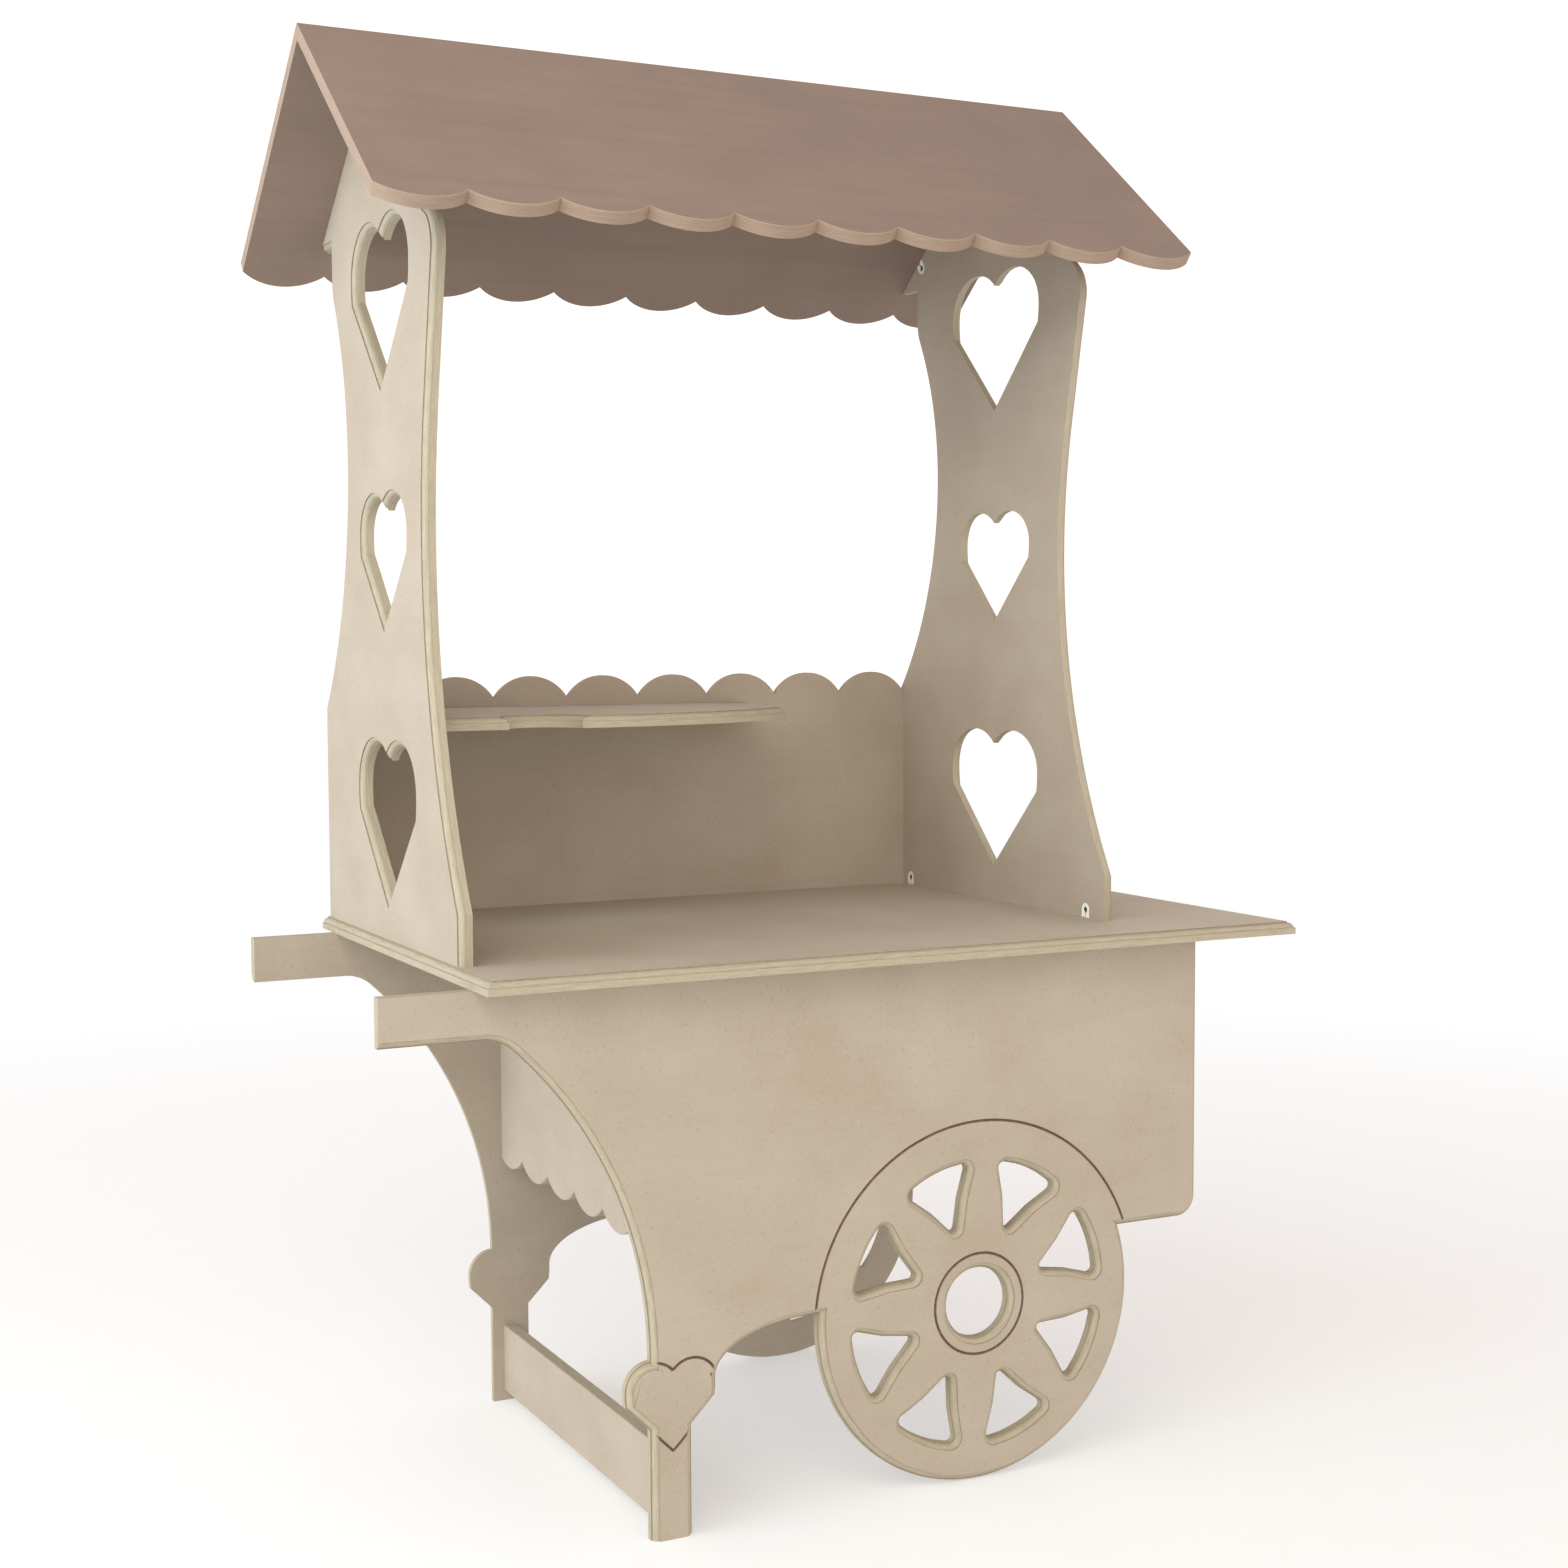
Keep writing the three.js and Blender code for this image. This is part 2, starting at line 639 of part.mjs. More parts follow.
// One slope of the roof, with a scalloped eave. Its X runs along the ridge, Y down the slope and
// Z out of its face. The ridge edge is mitred upright, and the gables' bolts screw in from below.
function roofSlab() {
  const half = roofLength / 2;
  const hem = scallops(roofLength, roofScallops, roofScallopRise, -eaveDrop);
  const shape = outline([
    point(half + mouldWidth, mouldWidth + overrun),
    point(-half - mouldWidth, mouldWidth + overrun),
    point(-half - mouldWidth, hem[0].y),
    ...hem,
    point(half + mouldWidth, hem[0].y),
  ].map((p) => point(p.x, -p.y)));
  const reach = boardThickness + mouldWidth;
  const mitre = new THREE.BoxGeometry(roofLength + 2 * overrun, 2 * reach, 4 * reach);
  mitre.translate(0, fitGap / 2 - reach, 0).rotateX(roofSlope).translate(0, 0, boardThickness);
  let body = mouldedBoard(shape, rectangle(-half, -reach, half, eaveDrop + overrun)).subtract(solid(mitre));
  const boltX = bayLength / 2 + camDepth;
  const boltY = roofFittingReach + (boardThickness + fitGap) * Math.tan(roofSlope);
  for (const x of [-boltX, boltX]) {
    body = body.subtract(solid(boltHole().rotateX(-quarterTurn).translate(x, boltY, 0)));
  }
  return body;
}

function roof(name, side) {
  const slope = at(0, side * Math.cos(roofSlope), -Math.sin(roofSlope));
  const normal = at(0, side * Math.sin(roofSlope), Math.cos(roofSlope));
  const ridge = at(bayMiddle, ridgeY, ridgeHeight).addScaledVector(normal, -boardThickness);
  return place(piece(name, roofSlab(), roofMaterial), ridge, slope, normal);
}

// The panel behind the table, scalloped along its top.
function backPanel() {
  const half = bayLength / 2;
  const crest = scallops(bayLength, backScallops, backScallopRise, -backPanelHeight);
  const shape = outline([
    point(half + mouldWidth, mouldWidth),
    point(-half - mouldWidth, mouldWidth),
    point(-half - mouldWidth, crest[0].y),
    ...crest,
    point(half + mouldWidth, crest[0].y),
  ].map((p) => point(p.x, -p.y)));
  return mouldedBoard(shape, rectangle(-half, 0, half, backPanelHeight + overrun));
}

// The shelf in the bay's back corner: a round notch and a sweeping front edge. Its X runs along
// the bay and its Y is 0 at the back panel.
function shelf() {
  const notchX = shelfNotchStart + shelfNotchRadius;
  const sweepX = notchX + shelfNotchRadius;
  const sweepY = shelfSweepRadius - shelfDepth;
  const tip = Math.acos((shelfTipLength - sweepX) / shelfSweepRadius);
  const tipDepth = shelfSweepRadius * Math.sin(tip) - sweepY;
  const past = mouldWidth + overrun;
  const shape = outline([
    point(shelfLength + past * (shelfLength - shelfTipLength) / tipDepth, past),
    point(-mouldWidth, past),
    point(-mouldWidth, -shelfDepth),
    ...arc(notchX, -shelfDepth, shelfNotchRadius, shelfNotchRadius, halfTurn, 0),
    ...arc(sweepX, sweepY, shelfSweepRadius, shelfSweepRadius, -quarterTurn, -tip),
  ]);
  return mouldedBoard(shape, rectangle(0, -shelfDepth - overrun, shelfLength + overrun, 0));
}

// The board that closes an end of the frame under the table, scalloped along its bottom.
function apron() {
  const hem = scallops(frameWidth, apronScallops, apronScallopRise, -apronDepth);
  const shape = outline([
    ...hem,
    point(frameWidth / 2, mouldWidth),
    point(-frameWidth / 2, mouldWidth),
  ]);
  return mouldedBoard(shape, rectangle(-innerHalf, -apronDepth - overrun, innerHalf, 0));
}

// The low board between the legs.
function stretcher() {
  const shape = rectangle(-innerHalf - mouldWidth, 0, innerHalf + mouldWidth, stretcherHeight);
  return mouldedBoard(shape, rectangle(-innerHalf, -overrun, innerHalf, stretcherHeight + overrun));
}

function buildCart() {
  const cart = new THREE.Group();
  const board = (name, body, position, y, z) => {
    cart.add(place(piece(name, body, boardMaterial), position, y, z));
  };
  board('side_panel_front', sidePanel(1), at(0, -innerHalf, 0), up, front);
  board('side_panel_back', sidePanel(-1), at(0, innerHalf, 0), up, back);
  board('table', table(), at(-tableReach, 0, panelHeight), back, up);
  const endX = bodyLength - apronSetback - boardThickness;
  board('apron_left', apron(), at(apronSetback + boardThickness, 0, panelHeight), up, left);
  board('apron_right', apron(), at(endX, 0, panelHeight), up, right);
  board('stretcher', stretcher(), at(apronSetback + boardThickness, 0, stretcherBottom), up, left);
  board('back_panel', backPanel(), at(bayMiddle, tableBack - boardThickness, tableTop), up, back);
  const shelfZ = tableTop + shelfHeight - boardThickness;
  board('shelf', shelf(), at(bayStart, tableBack - boardThickness, shelfZ), back, up);
  cart.add(place(uprightAssembly('left', -1), at(bayStart, ridgeY, tableTop), up, left));
  cart.add(place(uprightAssembly('right', 1), at(bayStart + bayLength, ridgeY, tableTop), up, right));
  cart.add(roof('roof_front', -1), roof('roof_back', 1));
  return cart;
}

// The cart stands with the middle of its bounding box's base at the origin.
const object = new THREE.Group();
const cart = buildCart();
const middle = new THREE.Box3().setFromObject(cart, true).getCenter(at(0, 0, 0));
cart.position.set(-middle.x, -middle.y, 0);
object.add(cart);

export default object;
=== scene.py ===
import math

import bmesh
import bpy
from mathutils import Matrix, Vector


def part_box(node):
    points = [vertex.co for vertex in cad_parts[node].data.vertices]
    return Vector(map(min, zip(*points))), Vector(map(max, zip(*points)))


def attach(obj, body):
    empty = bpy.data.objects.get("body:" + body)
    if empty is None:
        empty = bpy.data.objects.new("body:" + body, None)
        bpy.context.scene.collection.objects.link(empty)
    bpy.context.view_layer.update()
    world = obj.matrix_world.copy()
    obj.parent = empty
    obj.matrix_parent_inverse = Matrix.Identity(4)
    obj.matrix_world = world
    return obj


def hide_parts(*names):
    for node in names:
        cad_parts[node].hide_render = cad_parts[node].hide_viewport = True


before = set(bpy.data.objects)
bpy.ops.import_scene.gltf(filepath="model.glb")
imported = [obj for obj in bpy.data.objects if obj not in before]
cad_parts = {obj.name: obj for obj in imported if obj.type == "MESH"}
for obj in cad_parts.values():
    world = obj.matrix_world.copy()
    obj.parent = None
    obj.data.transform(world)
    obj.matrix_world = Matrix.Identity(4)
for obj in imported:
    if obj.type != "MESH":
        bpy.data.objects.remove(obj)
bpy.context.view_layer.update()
print("frame loaded")

# The cart's sizes are the real ones in millimetres, as a joiner would write them. The stage's are
# in metres. Drawing coordinates: x along the board, y across it, z out of its routed face.

boards = {
    "thickness": 18,
    "mouldWidth": 9,
    "mouldDepth": 9,
    "quirk": 1.9,  # the round-over cutter's small steps beside its curve, wide enough to show
    "eased": 1.2,  # arrises that are only taken off with sandpaper
    "roundSteps": 7,
    "heartSteps": 10,
    "lobeSteps": 30,
    "grooveWidth": 4,
    "grooveDepth": 3,
    "overrun": 3,  # how far a cut runs on past its board
    "chordError": 0.04,
    "leastChords": 2,  # in a quarter turn
    "fitGap": 0.3,
    "weld": 0.001,
    "sharpAngle": math.radians(28),
}
thickness, over = boards["thickness"], boards["overrun"]
mouldWidth, fitGap = boards["mouldWidth"], boards["fitGap"]
millimetre = 0.001
quarterTurn = math.pi / 2
halfTurn = math.pi
fullTurn = 2 * math.pi
# A board's material slots, in the order of its finish.
faceSlot, edgeSlot, grooveSlot, quirkSlot = 0, 1, 2, 3


# Points along an elliptical arc, close enough together to look round.
def arc(cx, cy, rx, ry, start, end):
    step = 2 * math.acos(1 - boards["chordError"] / max(rx, ry))
    quarters = math.ceil(abs(end - start) / quarterTurn)
    chords = math.ceil(abs(end - start) / step / quarters)
    count = quarters * max(boards["leastChords"], chords)
    turns = [start + (end - start) * i / count for i in range(count + 1)]
    return [Vector((cx + rx * math.cos(a), cy + ry * math.sin(a))) for a in turns]


def roundArc(cx, cy, radius, start, end):
    return arc(cx, cy, radius, radius, start, end)


def rectangle(x0, y0, x1, y1):
    return [Vector((x0, y0)), Vector((x1, y0)), Vector((x1, y1)), Vector((x0, y1))]


# Leaves out doubled points, and with a hand of -1 draws the mirrored board. Always anticlockwise.
def outline(points, hand=1):
    kept = [p for i, p in enumerate(points) if (p - points[i - 1]).length > boards["chordError"]]
    drawn = [Vector((p.x * hand, p.y)) for p in kept]
    area = sum(drawn[i - 1].cross(p) for i, p in enumerate(drawn))
    return drawn if area > 0 else drawn[::-1]


def circle(cx, cy, radius):
    return outline(roundArc(cx, cy, radius, 0, fullTurn))


# The outline moved into the board by a distance, or out of it by a negative one.
def moved(points, distance):
    shifted = []
    for i, p in enumerate(points):
        before = (p - points[i - 1]).normalized()
        after = (points[(i + 1) % len(points)] - p).normalized()
        normal = Vector((-before.y - after.y, before.x + after.x))
        shifted.append(p + normal * distance / (1 + before.dot(after)))
    return shifted


# A closed body through rings of points: the first ring's face is extruded from ring to ring, and
# each band between two rings has its own material slot.
def lofted(rings, bands, cap=faceSlot):
    bm = bmesh.new()
    start = end = bm.faces.new([bm.verts.new(p) for p in rings[0]])
    for ring, band in zip(rings[1:], bands):
        end.material_index = band
        made = bmesh.ops.extrude_face_region(bm, geom=[end])["geom"]
        if end is not start:
            bmesh.ops.delete(bm, geom=[end], context="FACES_ONLY")
        end = next(item for item in made if isinstance(item, bmesh.types.BMFace))
        for corner, p in zip(end.verts, ring):
            corner.co = p
    end.material_index = start.material_index = cap
    bmesh.ops.recalc_face_normals(bm, faces=bm.faces)
    return bm


def bandsOf(sections):
    return [section[2] if len(section) > 2 else edgeSlot for section in sections[1:]]


# A body over an outline, through sections of (inset, height, slot of the band that leads there).
def stacked(points, sections):
    rings = [[(p.x, p.y, section[1]) for p in moved(points, section[0])] for section in sections]
    return lofted(rings, bandsOf(sections))


# The round-over cutter's profile: a ledge at the side, a quarter round, and a step up to the face.
# The side is 1 for a board's own edge and -1 for the edge of an opening.
def roundOver(side, bottom, top):
    quirk = boards["quirk"]
    start = thickness - boards["mouldDepth"]
    reach = boards["mouldDepth"] - quirk
    sections = [(0, bottom), (0, start)]
    for i in range(boards["roundSteps"] + 1):
        a = quarterTurn * i / boards["roundSteps"]
        inset = mouldWidth - (mouldWidth - quirk) * math.cos(a)
        # The ledge at the side and the step up to the face take the quirk slot, whose darker colour
        # is painted shade in these inner corners.
        sections.append((side * inset, start + reach * math.sin(a), edgeSlot if i else quirkSlot))
    return sections + [(side * mouldWidth, thickness, quirkSlot), (side * mouldWidth, top)]


edgeSections = roundOver(1, 0, thickness)[:-1]
openingSections = roundOver(-1, -over, thickness + over)


def mouldedBlank(points):
    return stacked(points, edgeSections)


# A board with square edges, whose outer arrises are only eased.
def easedBlank(points):
    ease = boards["eased"]
    return stacked(points, [(0, 0), (0, thickness - ease), (ease, thickness)])


def mouldedCutter(points):
    return stacked(points, openingSections)


def prism(points, bottom=-over, top=thickness + over):
    return stacked(points, [(0, bottom), (0, top)])


def disc(x, y, radius, bottom, top):
    return prism(circle(x, y, radius), bottom, top)


# The V section of a groove at a point of the face, spread along a direction.
def grooveSection(p, across):
    depth = boards["grooveDepth"]
    bottom, top = thickness - depth, thickness + over
    spread = across * boards["grooveWidth"] / 2 * (depth + over) / depth
    return [(*p, bottom), (*(p + spread), top), (*(p - spread), top)]


def grooveLine(points):
    rings = []
    last = len(points) - 1
    for i, p in enumerate(points):
        along = (points[min(i + 1, last)] - points[max(i - 1, 0)]).normalized()
        rings.append(grooveSection(p, Vector((-along.y, along.x))))
    return lofted(rings, [grooveSlot] * len(points), grooveSlot)


def grooveRing(hub, radius):
    bm = bmesh.new()
    outward = Vector((1, 0))
    corners = [bm.verts.new(p) for p in grooveSection(hub + outward * radius, outward)]
    edges = [bm.edges.new((corners[i - 1], v)) for i, v in enumerate(corners)]
    count = len(roundArc(0, 0, radius, 0, fullTurn)) - 1
    bmesh.ops.spin(
        bm, geom=corners + edges, cent=(*hub, 0), axis=(0, 0, 1),
        angle=fullTurn, steps=count, use_merge=True,
    )
    for face in bm.faces:
        face.material_index = grooveSlot
    bmesh.ops.recalc_face_normals(bm, faces=bm.faces)
    return bm


def asObject(name, bm, finish):
    mesh = bpy.data.meshes.new(name)
    bm.to_mesh(mesh)
    bm.free()
    for material in finish:
        mesh.materials.append(material)
    piece = bpy.data.objects.new(name, mesh)
    bpy.context.scene.collection.objects.link(piece)
    return piece


# Joins bodies to a piece, cuts others out of it or keeps what lies in them, one after another.
def worked(name, blank, steps, finish):
    piece = asObject(name, blank, finish)
    tools = []
    for i, (operation, bm) in enumerate(steps):
        tools.append(asObject(f"{name}Tool{i}", bm, finish))
        step = piece.modifiers.new(f"step{i}", "BOOLEAN")
        step.operation = operation
        step.solver = "MANIFOLD"
        step.object = tools[-1]
    bpy.context.view_layer.update()
    shaped = piece.evaluated_get(bpy.context.evaluated_depsgraph_get())
    mesh = bpy.data.meshes.new_from_object(shaped)
    piece.modifiers.clear()
    piece.data = mesh
    for tool in tools:
        bpy.data.objects.remove(tool)
    print(f"{name}: {len(steps)} steps, {len(mesh.polygons)} faces")
    return piece


def cuts(*bodies):
    return [("DIFFERENCE", body) for body in bodies]


def trimmed(name, blank, trim, finish):
    return worked(name, blank, [("INTERSECT", prism(trim))], finish)


# Sets a drawn piece down in the frame, with its own y and z along two directions.
def setDown(piece, position, y, z):
    y, z = Vector(y), Vector(z)
    turn = Matrix((y.cross(z), y, z)).transposed().to_4x4()
    seat = Matrix.Translation((Vector(position) + frameShift) * millimetre)
    piece.data.transform(seat @ turn @ Matrix.Scale(millimetre, 4))
    bm = bmesh.new()
    bm.from_mesh(piece.data)
    bmesh.ops.remove_doubles(bm, verts=bm.verts, dist=boards["weld"] * millimetre)
    bmesh.ops.recalc_face_normals(bm, faces=bm.faces)
    bm.to_mesh(piece.data)
    bm.free()
    piece.data.shade_smooth()
    piece.data.set_sharp_from_angle(angle=boards["sharpAngle"])


right, left, back, front, up = (1, 0, 0), (-1, 0, 0), (0, 1, 0), (0, -1, 0), (0, 0, 1)


# A hex colour in linear light: the sRGB curve undone, channel by channel, with an alpha of 1.
def linear(hexColour):
    shares = [int(hexColour[i:i + 2], 16) / 255 for i in (1, 3, 5)]
    return [s / 12.92 if s <= 0.04045 else ((s + 0.055) / 1.055) ** 2.4 for s in shares] + [1]


def addNode(tree, kind, settings=None, links=None):
    node = tree.nodes.new(kind)
    for key, value in (settings or {}).items():
        if isinstance(key, int) or key in node.inputs:
            node.inputs[key].default_value = value
        else:
            setattr(node, key, value)
    for key, source in (links or {}).items():
        tree.links.new(source, node.inputs[key])
    return node


def newMaterial(name):
    material = bpy.data.materials.new(name)
    material.use_nodes = True
    tree = material.node_tree
    tree.nodes.clear()
    output = addNode(tree, "ShaderNodeOutputMaterial")
    shader = addNode(tree, "ShaderNodeBsdfPrincipled", {"Metallic": 0.0})
    tree.links.new(shader.outputs["BSDF"], output.inputs["Surface"])
    return material, tree, shader


# Noise in object coordinates. Its look is the real size of a grain along each axis, then the
# noise's detail and roughness. A seed moves it along, so that boards differ.
def grainNoise(tree, look, seed=0, turn=(0, 0, 0)):
    sizes, detail, roughness = look
    where = addNode(tree, "ShaderNodeTexCoord").outputs["Object"]
    turned = addNode(tree, "ShaderNodeMapping", {"Rotation": turn}, {"Vector": where}).outputs[0]
    scale = [1 / (size * millimetre) for size in sizes]
    place = {"Location": (seed, seed, seed), "Scale": scale}
    space = addNode(tree, "ShaderNodeMapping", place, {"Vector": turned}).outputs[0]
    settings = {"Scale": 1.0, "Detail": detail, "Roughness": roughness}
    return addNode(tree, "ShaderNodeTexNoise", settings, {"Vector": space}).outputs[0]


def ramp(tree, source, fromRange, toRange=(0, 1)):
    sockets = ("From Min", "From Max", "To Min", "To Max")
    settings = dict(zip(sockets, (*fromRange, *toRange)))
    return addNode(tree, "ShaderNodeMapRange", settings, {"Value": source}).outputs[0]


# The mix node has sockets for every kind of data. These are the ones for colours.
mixSockets = {"factor": 0, "first": 6, "second": 7, "result": 2}


def mixed(tree, factor, first, second):
    node = addNode(tree, "ShaderNodeMix", {"data_type": "RGBA"})
    for key, value in (("factor", factor), ("first", first), ("second", second)):
        socket = node.inputs[mixSockets[key]]
        if isinstance(value, bpy.types.NodeSocket):
            tree.links.new(value, socket)
        else:
            socket.default_value = value
    return node.outputs[mixSockets["result"]]


# Joins the finished colour, a roughness and the small relief to the shader's sockets. The relief is
# a strength and a real depth, and the height is the noise that it follows.
def finished(tree, shader, colour, roughness, height, relief):
    tree.links.new(colour, shader.inputs["Base Color"])
    if isinstance(roughness, bpy.types.NodeSocket):
        tree.links.new(roughness, shader.inputs["Roughness"])
    else:
        shader.inputs["Roughness"].default_value = roughness
    strength, depth = relief
    settings = {"Strength": strength, "Distance": depth * millimetre}
    bump = addNode(tree, "ShaderNodeBump", settings, {"Height": height})
    tree.links.new(bump.outputs[0], shader.inputs["Normal"])


# The parts of a noise that tones and roughness fade over.
toneSpan, roughSpan = (0.3, 0.7), (0.2, 0.8)


# Medium-density fibreboard: wood fibres and resin pressed flat. Its sanded face is matt and even,
# with short pale fibres, faint darker specks and soft clouds where the mat was denser. The belt
# sander leaves long marks, which hardly show on most of the boards and show more on the roof's.
def fibreboardFace(name, colour, pale, dark, seed, sanding):
    material, tree, shader = newMaterial(name)
    settings = {
        "fibre": ((5, 5, 2.4), 4.0, 0.6),  # real ones are 1 to 3 mm and thinner: coarser to show
        "speck": ((5, 5, 5), 3.0, 0.65),
        "cloud": ((150, 150, 120), 3.0, 0.55),
        "streak": ((420, 420, 12), 3.0, 0.6),
        "fibreSpan": (0.5, 0.8),
        "speckSpan": (0.58, 0.85),
        "streakSpan": (0.45, 0.8),
        "roughness": (0.68, 0.8),
        "relief": (0.2, 0.25),
        "ior": 1.5,
    }
    fibres = grainNoise(tree, settings["fibre"], seed)
    specks = grainNoise(tree, settings["speck"], seed + 2)
    cloud = grainNoise(tree, settings["cloud"], seed + 4)
    streaks = grainNoise(tree, settings["streak"], seed + 6)
    marks = ramp(tree, streaks, settings["streakSpan"], (0, sanding))
    toned = mixed(tree, ramp(tree, cloud, toneSpan), linear(colour), linear(pale))
    combed = mixed(tree, marks, toned, linear(dark))
    fibred = mixed(tree, ramp(tree, fibres, settings["fibreSpan"]), combed, linear(pale))
    specked = mixed(tree, ramp(tree, specks, settings["speckSpan"]), fibred, linear(dark))
    roughness = ramp(tree, cloud, roughSpan, settings["roughness"])
    finished(tree, shader, specked, roughness, fibres, settings["relief"])
    shader.inputs["IOR"].default_value = settings["ior"]
    return material


# Its routed and sawn edges: the softer core, a little furry under the cutter, in fine layers that
# run along the board.
def fibreboardEdge(name, core, pale, dark, turn):
    material, tree, shader = newMaterial(name)
    settings = {
        "layer": ((30, 30, 1.4), 2.0, 0.5),  # real layers are 0.2 mm
        "fur": ((2.6, 2.6, 2.6), 3.0, 0.6),
        "layerSpan": (0.35, 0.7),
        "furSpan": (0.55, 0.9),
        "roughness": 0.88,
        "relief": (0.3, 0.3),
        "ior": 1.5,
    }
    layers = grainNoise(tree, settings["layer"], turn=turn)
    fur = grainNoise(tree, settings["fur"])
    banded = mixed(tree, ramp(tree, layers, settings["layerSpan"]), linear(pale), linear(core))
    furred = mixed(tree, ramp(tree, fur, settings["furSpan"]), banded, linear(dark))
    finished(tree, shader, furred, settings["roughness"], layers, settings["relief"])
    shader.inputs["IOR"].default_value = settings["ior"]
    return material


# V grooves and the small steps beside a round-over, in a dark brown. In the grooves it is partly the
# resin that the cutter scorches and partly painted shade in the V; on the steps it is painted shade
# in the inner corners.
def scorchAndShadeMaterial(name, dark, pale):
    material, tree, shader = newMaterial(name)
    settings = {"fur": ((5, 5, 5), 3.0, 0.5), "roughness": 0.85, "relief": (0.2, 0.2), "ior": 1.5}
    fur = grainNoise(tree, settings["fur"])
    colour = mixed(tree, ramp(tree, fur, toneSpan), linear(dark), linear(pale))
    finished(tree, shader, colour, settings["roughness"], fur, settings["relief"])
    shader.inputs["IOR"].default_value = settings["ior"]
    return material


# Nylon: injection-moulded housings, off-white and slightly waxy.
def mouldedNylon():
    material, tree, shader = newMaterial("mouldedNylonHousing")
    settings = {
        "grain": ((0.8, 0.8, 0.8), 2.0, 0.5),
        "colour": "#F4F3EA",
        "shade": "#EAE8DC",
        "roughness": (0.38, 0.48),
        "relief": (0.1, 0.1),
        "ior": 1.53,
    }
    grain = grainNoise(tree, settings["grain"])
    tone = ramp(tree, grain, toneSpan)
    colour = mixed(tree, tone, linear(settings["colour"]), linear(settings["shade"]))
    roughness = ramp(tree, grain, roughSpan, settings["roughness"])
    finished(tree, shader, colour, roughness, grain, settings["relief"])
    shader.inputs["IOR"].default_value = settings["ior"]
    return material


# Zinc alloy: die-cast cams, dull grey with a fine cast skin. The bolts are zinc-plated steel.
def zinc(name, colour, shade, roughness):
    material, tree, shader = newMaterial(name)
    settings = {"skin": ((0.6, 0.6, 0.6), 3.0, 0.5), "spread": 0.08, "relief": (0.2, 0.1)}
    skin = grainNoise(tree, settings["skin"])
    toned = mixed(tree, ramp(tree, skin, toneSpan), linear(colour), linear(shade))
    ends = (roughness - settings["spread"], roughness + settings["spread"])
    finished(tree, shader, toned, ramp(tree, skin, roughSpan, ends), skin, settings["relief"])
    shader.inputs["Metallic"].default_value = 1.0
    return material


faceLooks = {
    "cart": {"colour": "#A69885", "pale": "#B0A493", "dark": "#958772", "seed": 0, "sanding": 0.1},
    # The table's colours are lighter and yellower than the cart's: painted light on its top, same
    # fibreboard as the rest.
    "table": {"colour": "#B1A592", "pale": "#BBB09E", "dark": "#A19581", "seed": 17, "sanding": 0.1},
    # The roof's colours are darker and redder than the cart's: painted shade on its faces, same
    # fibreboard as the rest.
    "roof": {"colour": "#837064", "pale": "#8B786B", "dark": "#79675B", "seed": 31, "sanding": 0.5},
}
edgeLooks = {
    "cart": {"core": "#A29780", "pale": "#B0A690", "dark": "#8F836D"},
    # The roof's edges are darker and redder too: painted shade.
    "roof": {"core": "#97816F", "pale": "#A28D7B", "dark": "#847060"},
}
cartFace = fibreboardFace("sandedFibreboard", **faceLooks["cart"])
# The table's material is a lighter copy of the cart's fibreboard: painted light on its top.
paintedLightTableFace = fibreboardFace("sandedFibreboardTablePaintedLight", **faceLooks["table"])
# The roof's material is a darker copy of the cart's fibreboard: painted shade.
paintedShadeRoofFace = fibreboardFace("sandedFibreboardRoofPaintedShade", **faceLooks["roof"])
# The grooves' dark brown is partly the cutter's scorch and partly painted shade in the V.
scorchedAndShadedGroove = scorchAndShadeMaterial("scorchedAndShadedFibreboardGroove", "#6B5748", "#86705D")
# The steps beside a round-over get a darker tone: painted shade in their inner corners.
paintedStepShade = scorchAndShadeMaterial("paintedShadeFibreboardStep", "#8A7D69", "#9B8E79")


# Face, edges, grooves and the painted shade of the round-over's steps of a board, with the edges'
# layers turned to its thickness.
def finishFor(face, look, turn, label):
    edge = fibreboardEdge(f"routedFibreboard{label}", **look, turn=turn)
    return [face, edge, scorchedAndShadedGroove, paintedStepShade]


finishX = finishFor(cartFace, edgeLooks["cart"], (0, quarterTurn, 0), "AcrossX")
finishY = finishFor(cartFace, edgeLooks["cart"], (quarterTurn, 0, 0), "AcrossY")
finishZ = finishFor(cartFace, edgeLooks["cart"], (0, 0, 0), "AcrossZ")
finishTablePaintedLight = [paintedLightTableFace, *finishZ[1:]]
nylon = mouldedNylon()
castZinc = zinc("castZincCam", "#A7A8AA", "#8E8F92", 0.42)
platedSteel = zinc("zincPlatedSteelBolt", "#BFC0C2", "#A9AAAE", 0.34)
print("materials ready")

panels = {
    "frameWidth": 638,
    "height": 742,
    "length": 867,
    "bottom": 331,
    "cornerRadius": 29,
    "handleReach": 357,
    "handleDepth": 64,
    "handleFillet": 60,
    "archRadius": 572,
    "archFoot": 243,
    "legWidth": 58,
    "smallArchFoot": 205,
    "smallArchRise": 63,
    "legHeart": 129,
    "legHeartTip": 118,
}
wheels = {
    "radius": 250,
    "x": 495,
    "grooveOffset": 7,
    "hubGroove": 71,
    "hubHole": 49,
    "spokes": 8,
    "windowInner": 104,
    "windowBend": 150,
    "windowBendHalf": 24,
    "windowOuter": 199,
    "windowHalfAngle": math.radians(15.6),
    "windowTurn": math.radians(-3),  # in the near panel's drawing, and mirrored in the far one's
    "tipFillet": 6,
    "cornerFillet": 8,
    "filletPoints": 3,  # points of the rim that give way to the fillet at each of its ends
}
heartShares = {
    "cornerX": 0.49,
    "cornerY": 0.49,
    "lobeX": 0.215,
    "lobeY": 0.605,
    "lobeA": 0.285,
    "lobeB": 0.25,
}
legHeartShares = {**heartShares, "lobeY": 0.64, "lobeB": 0.29}
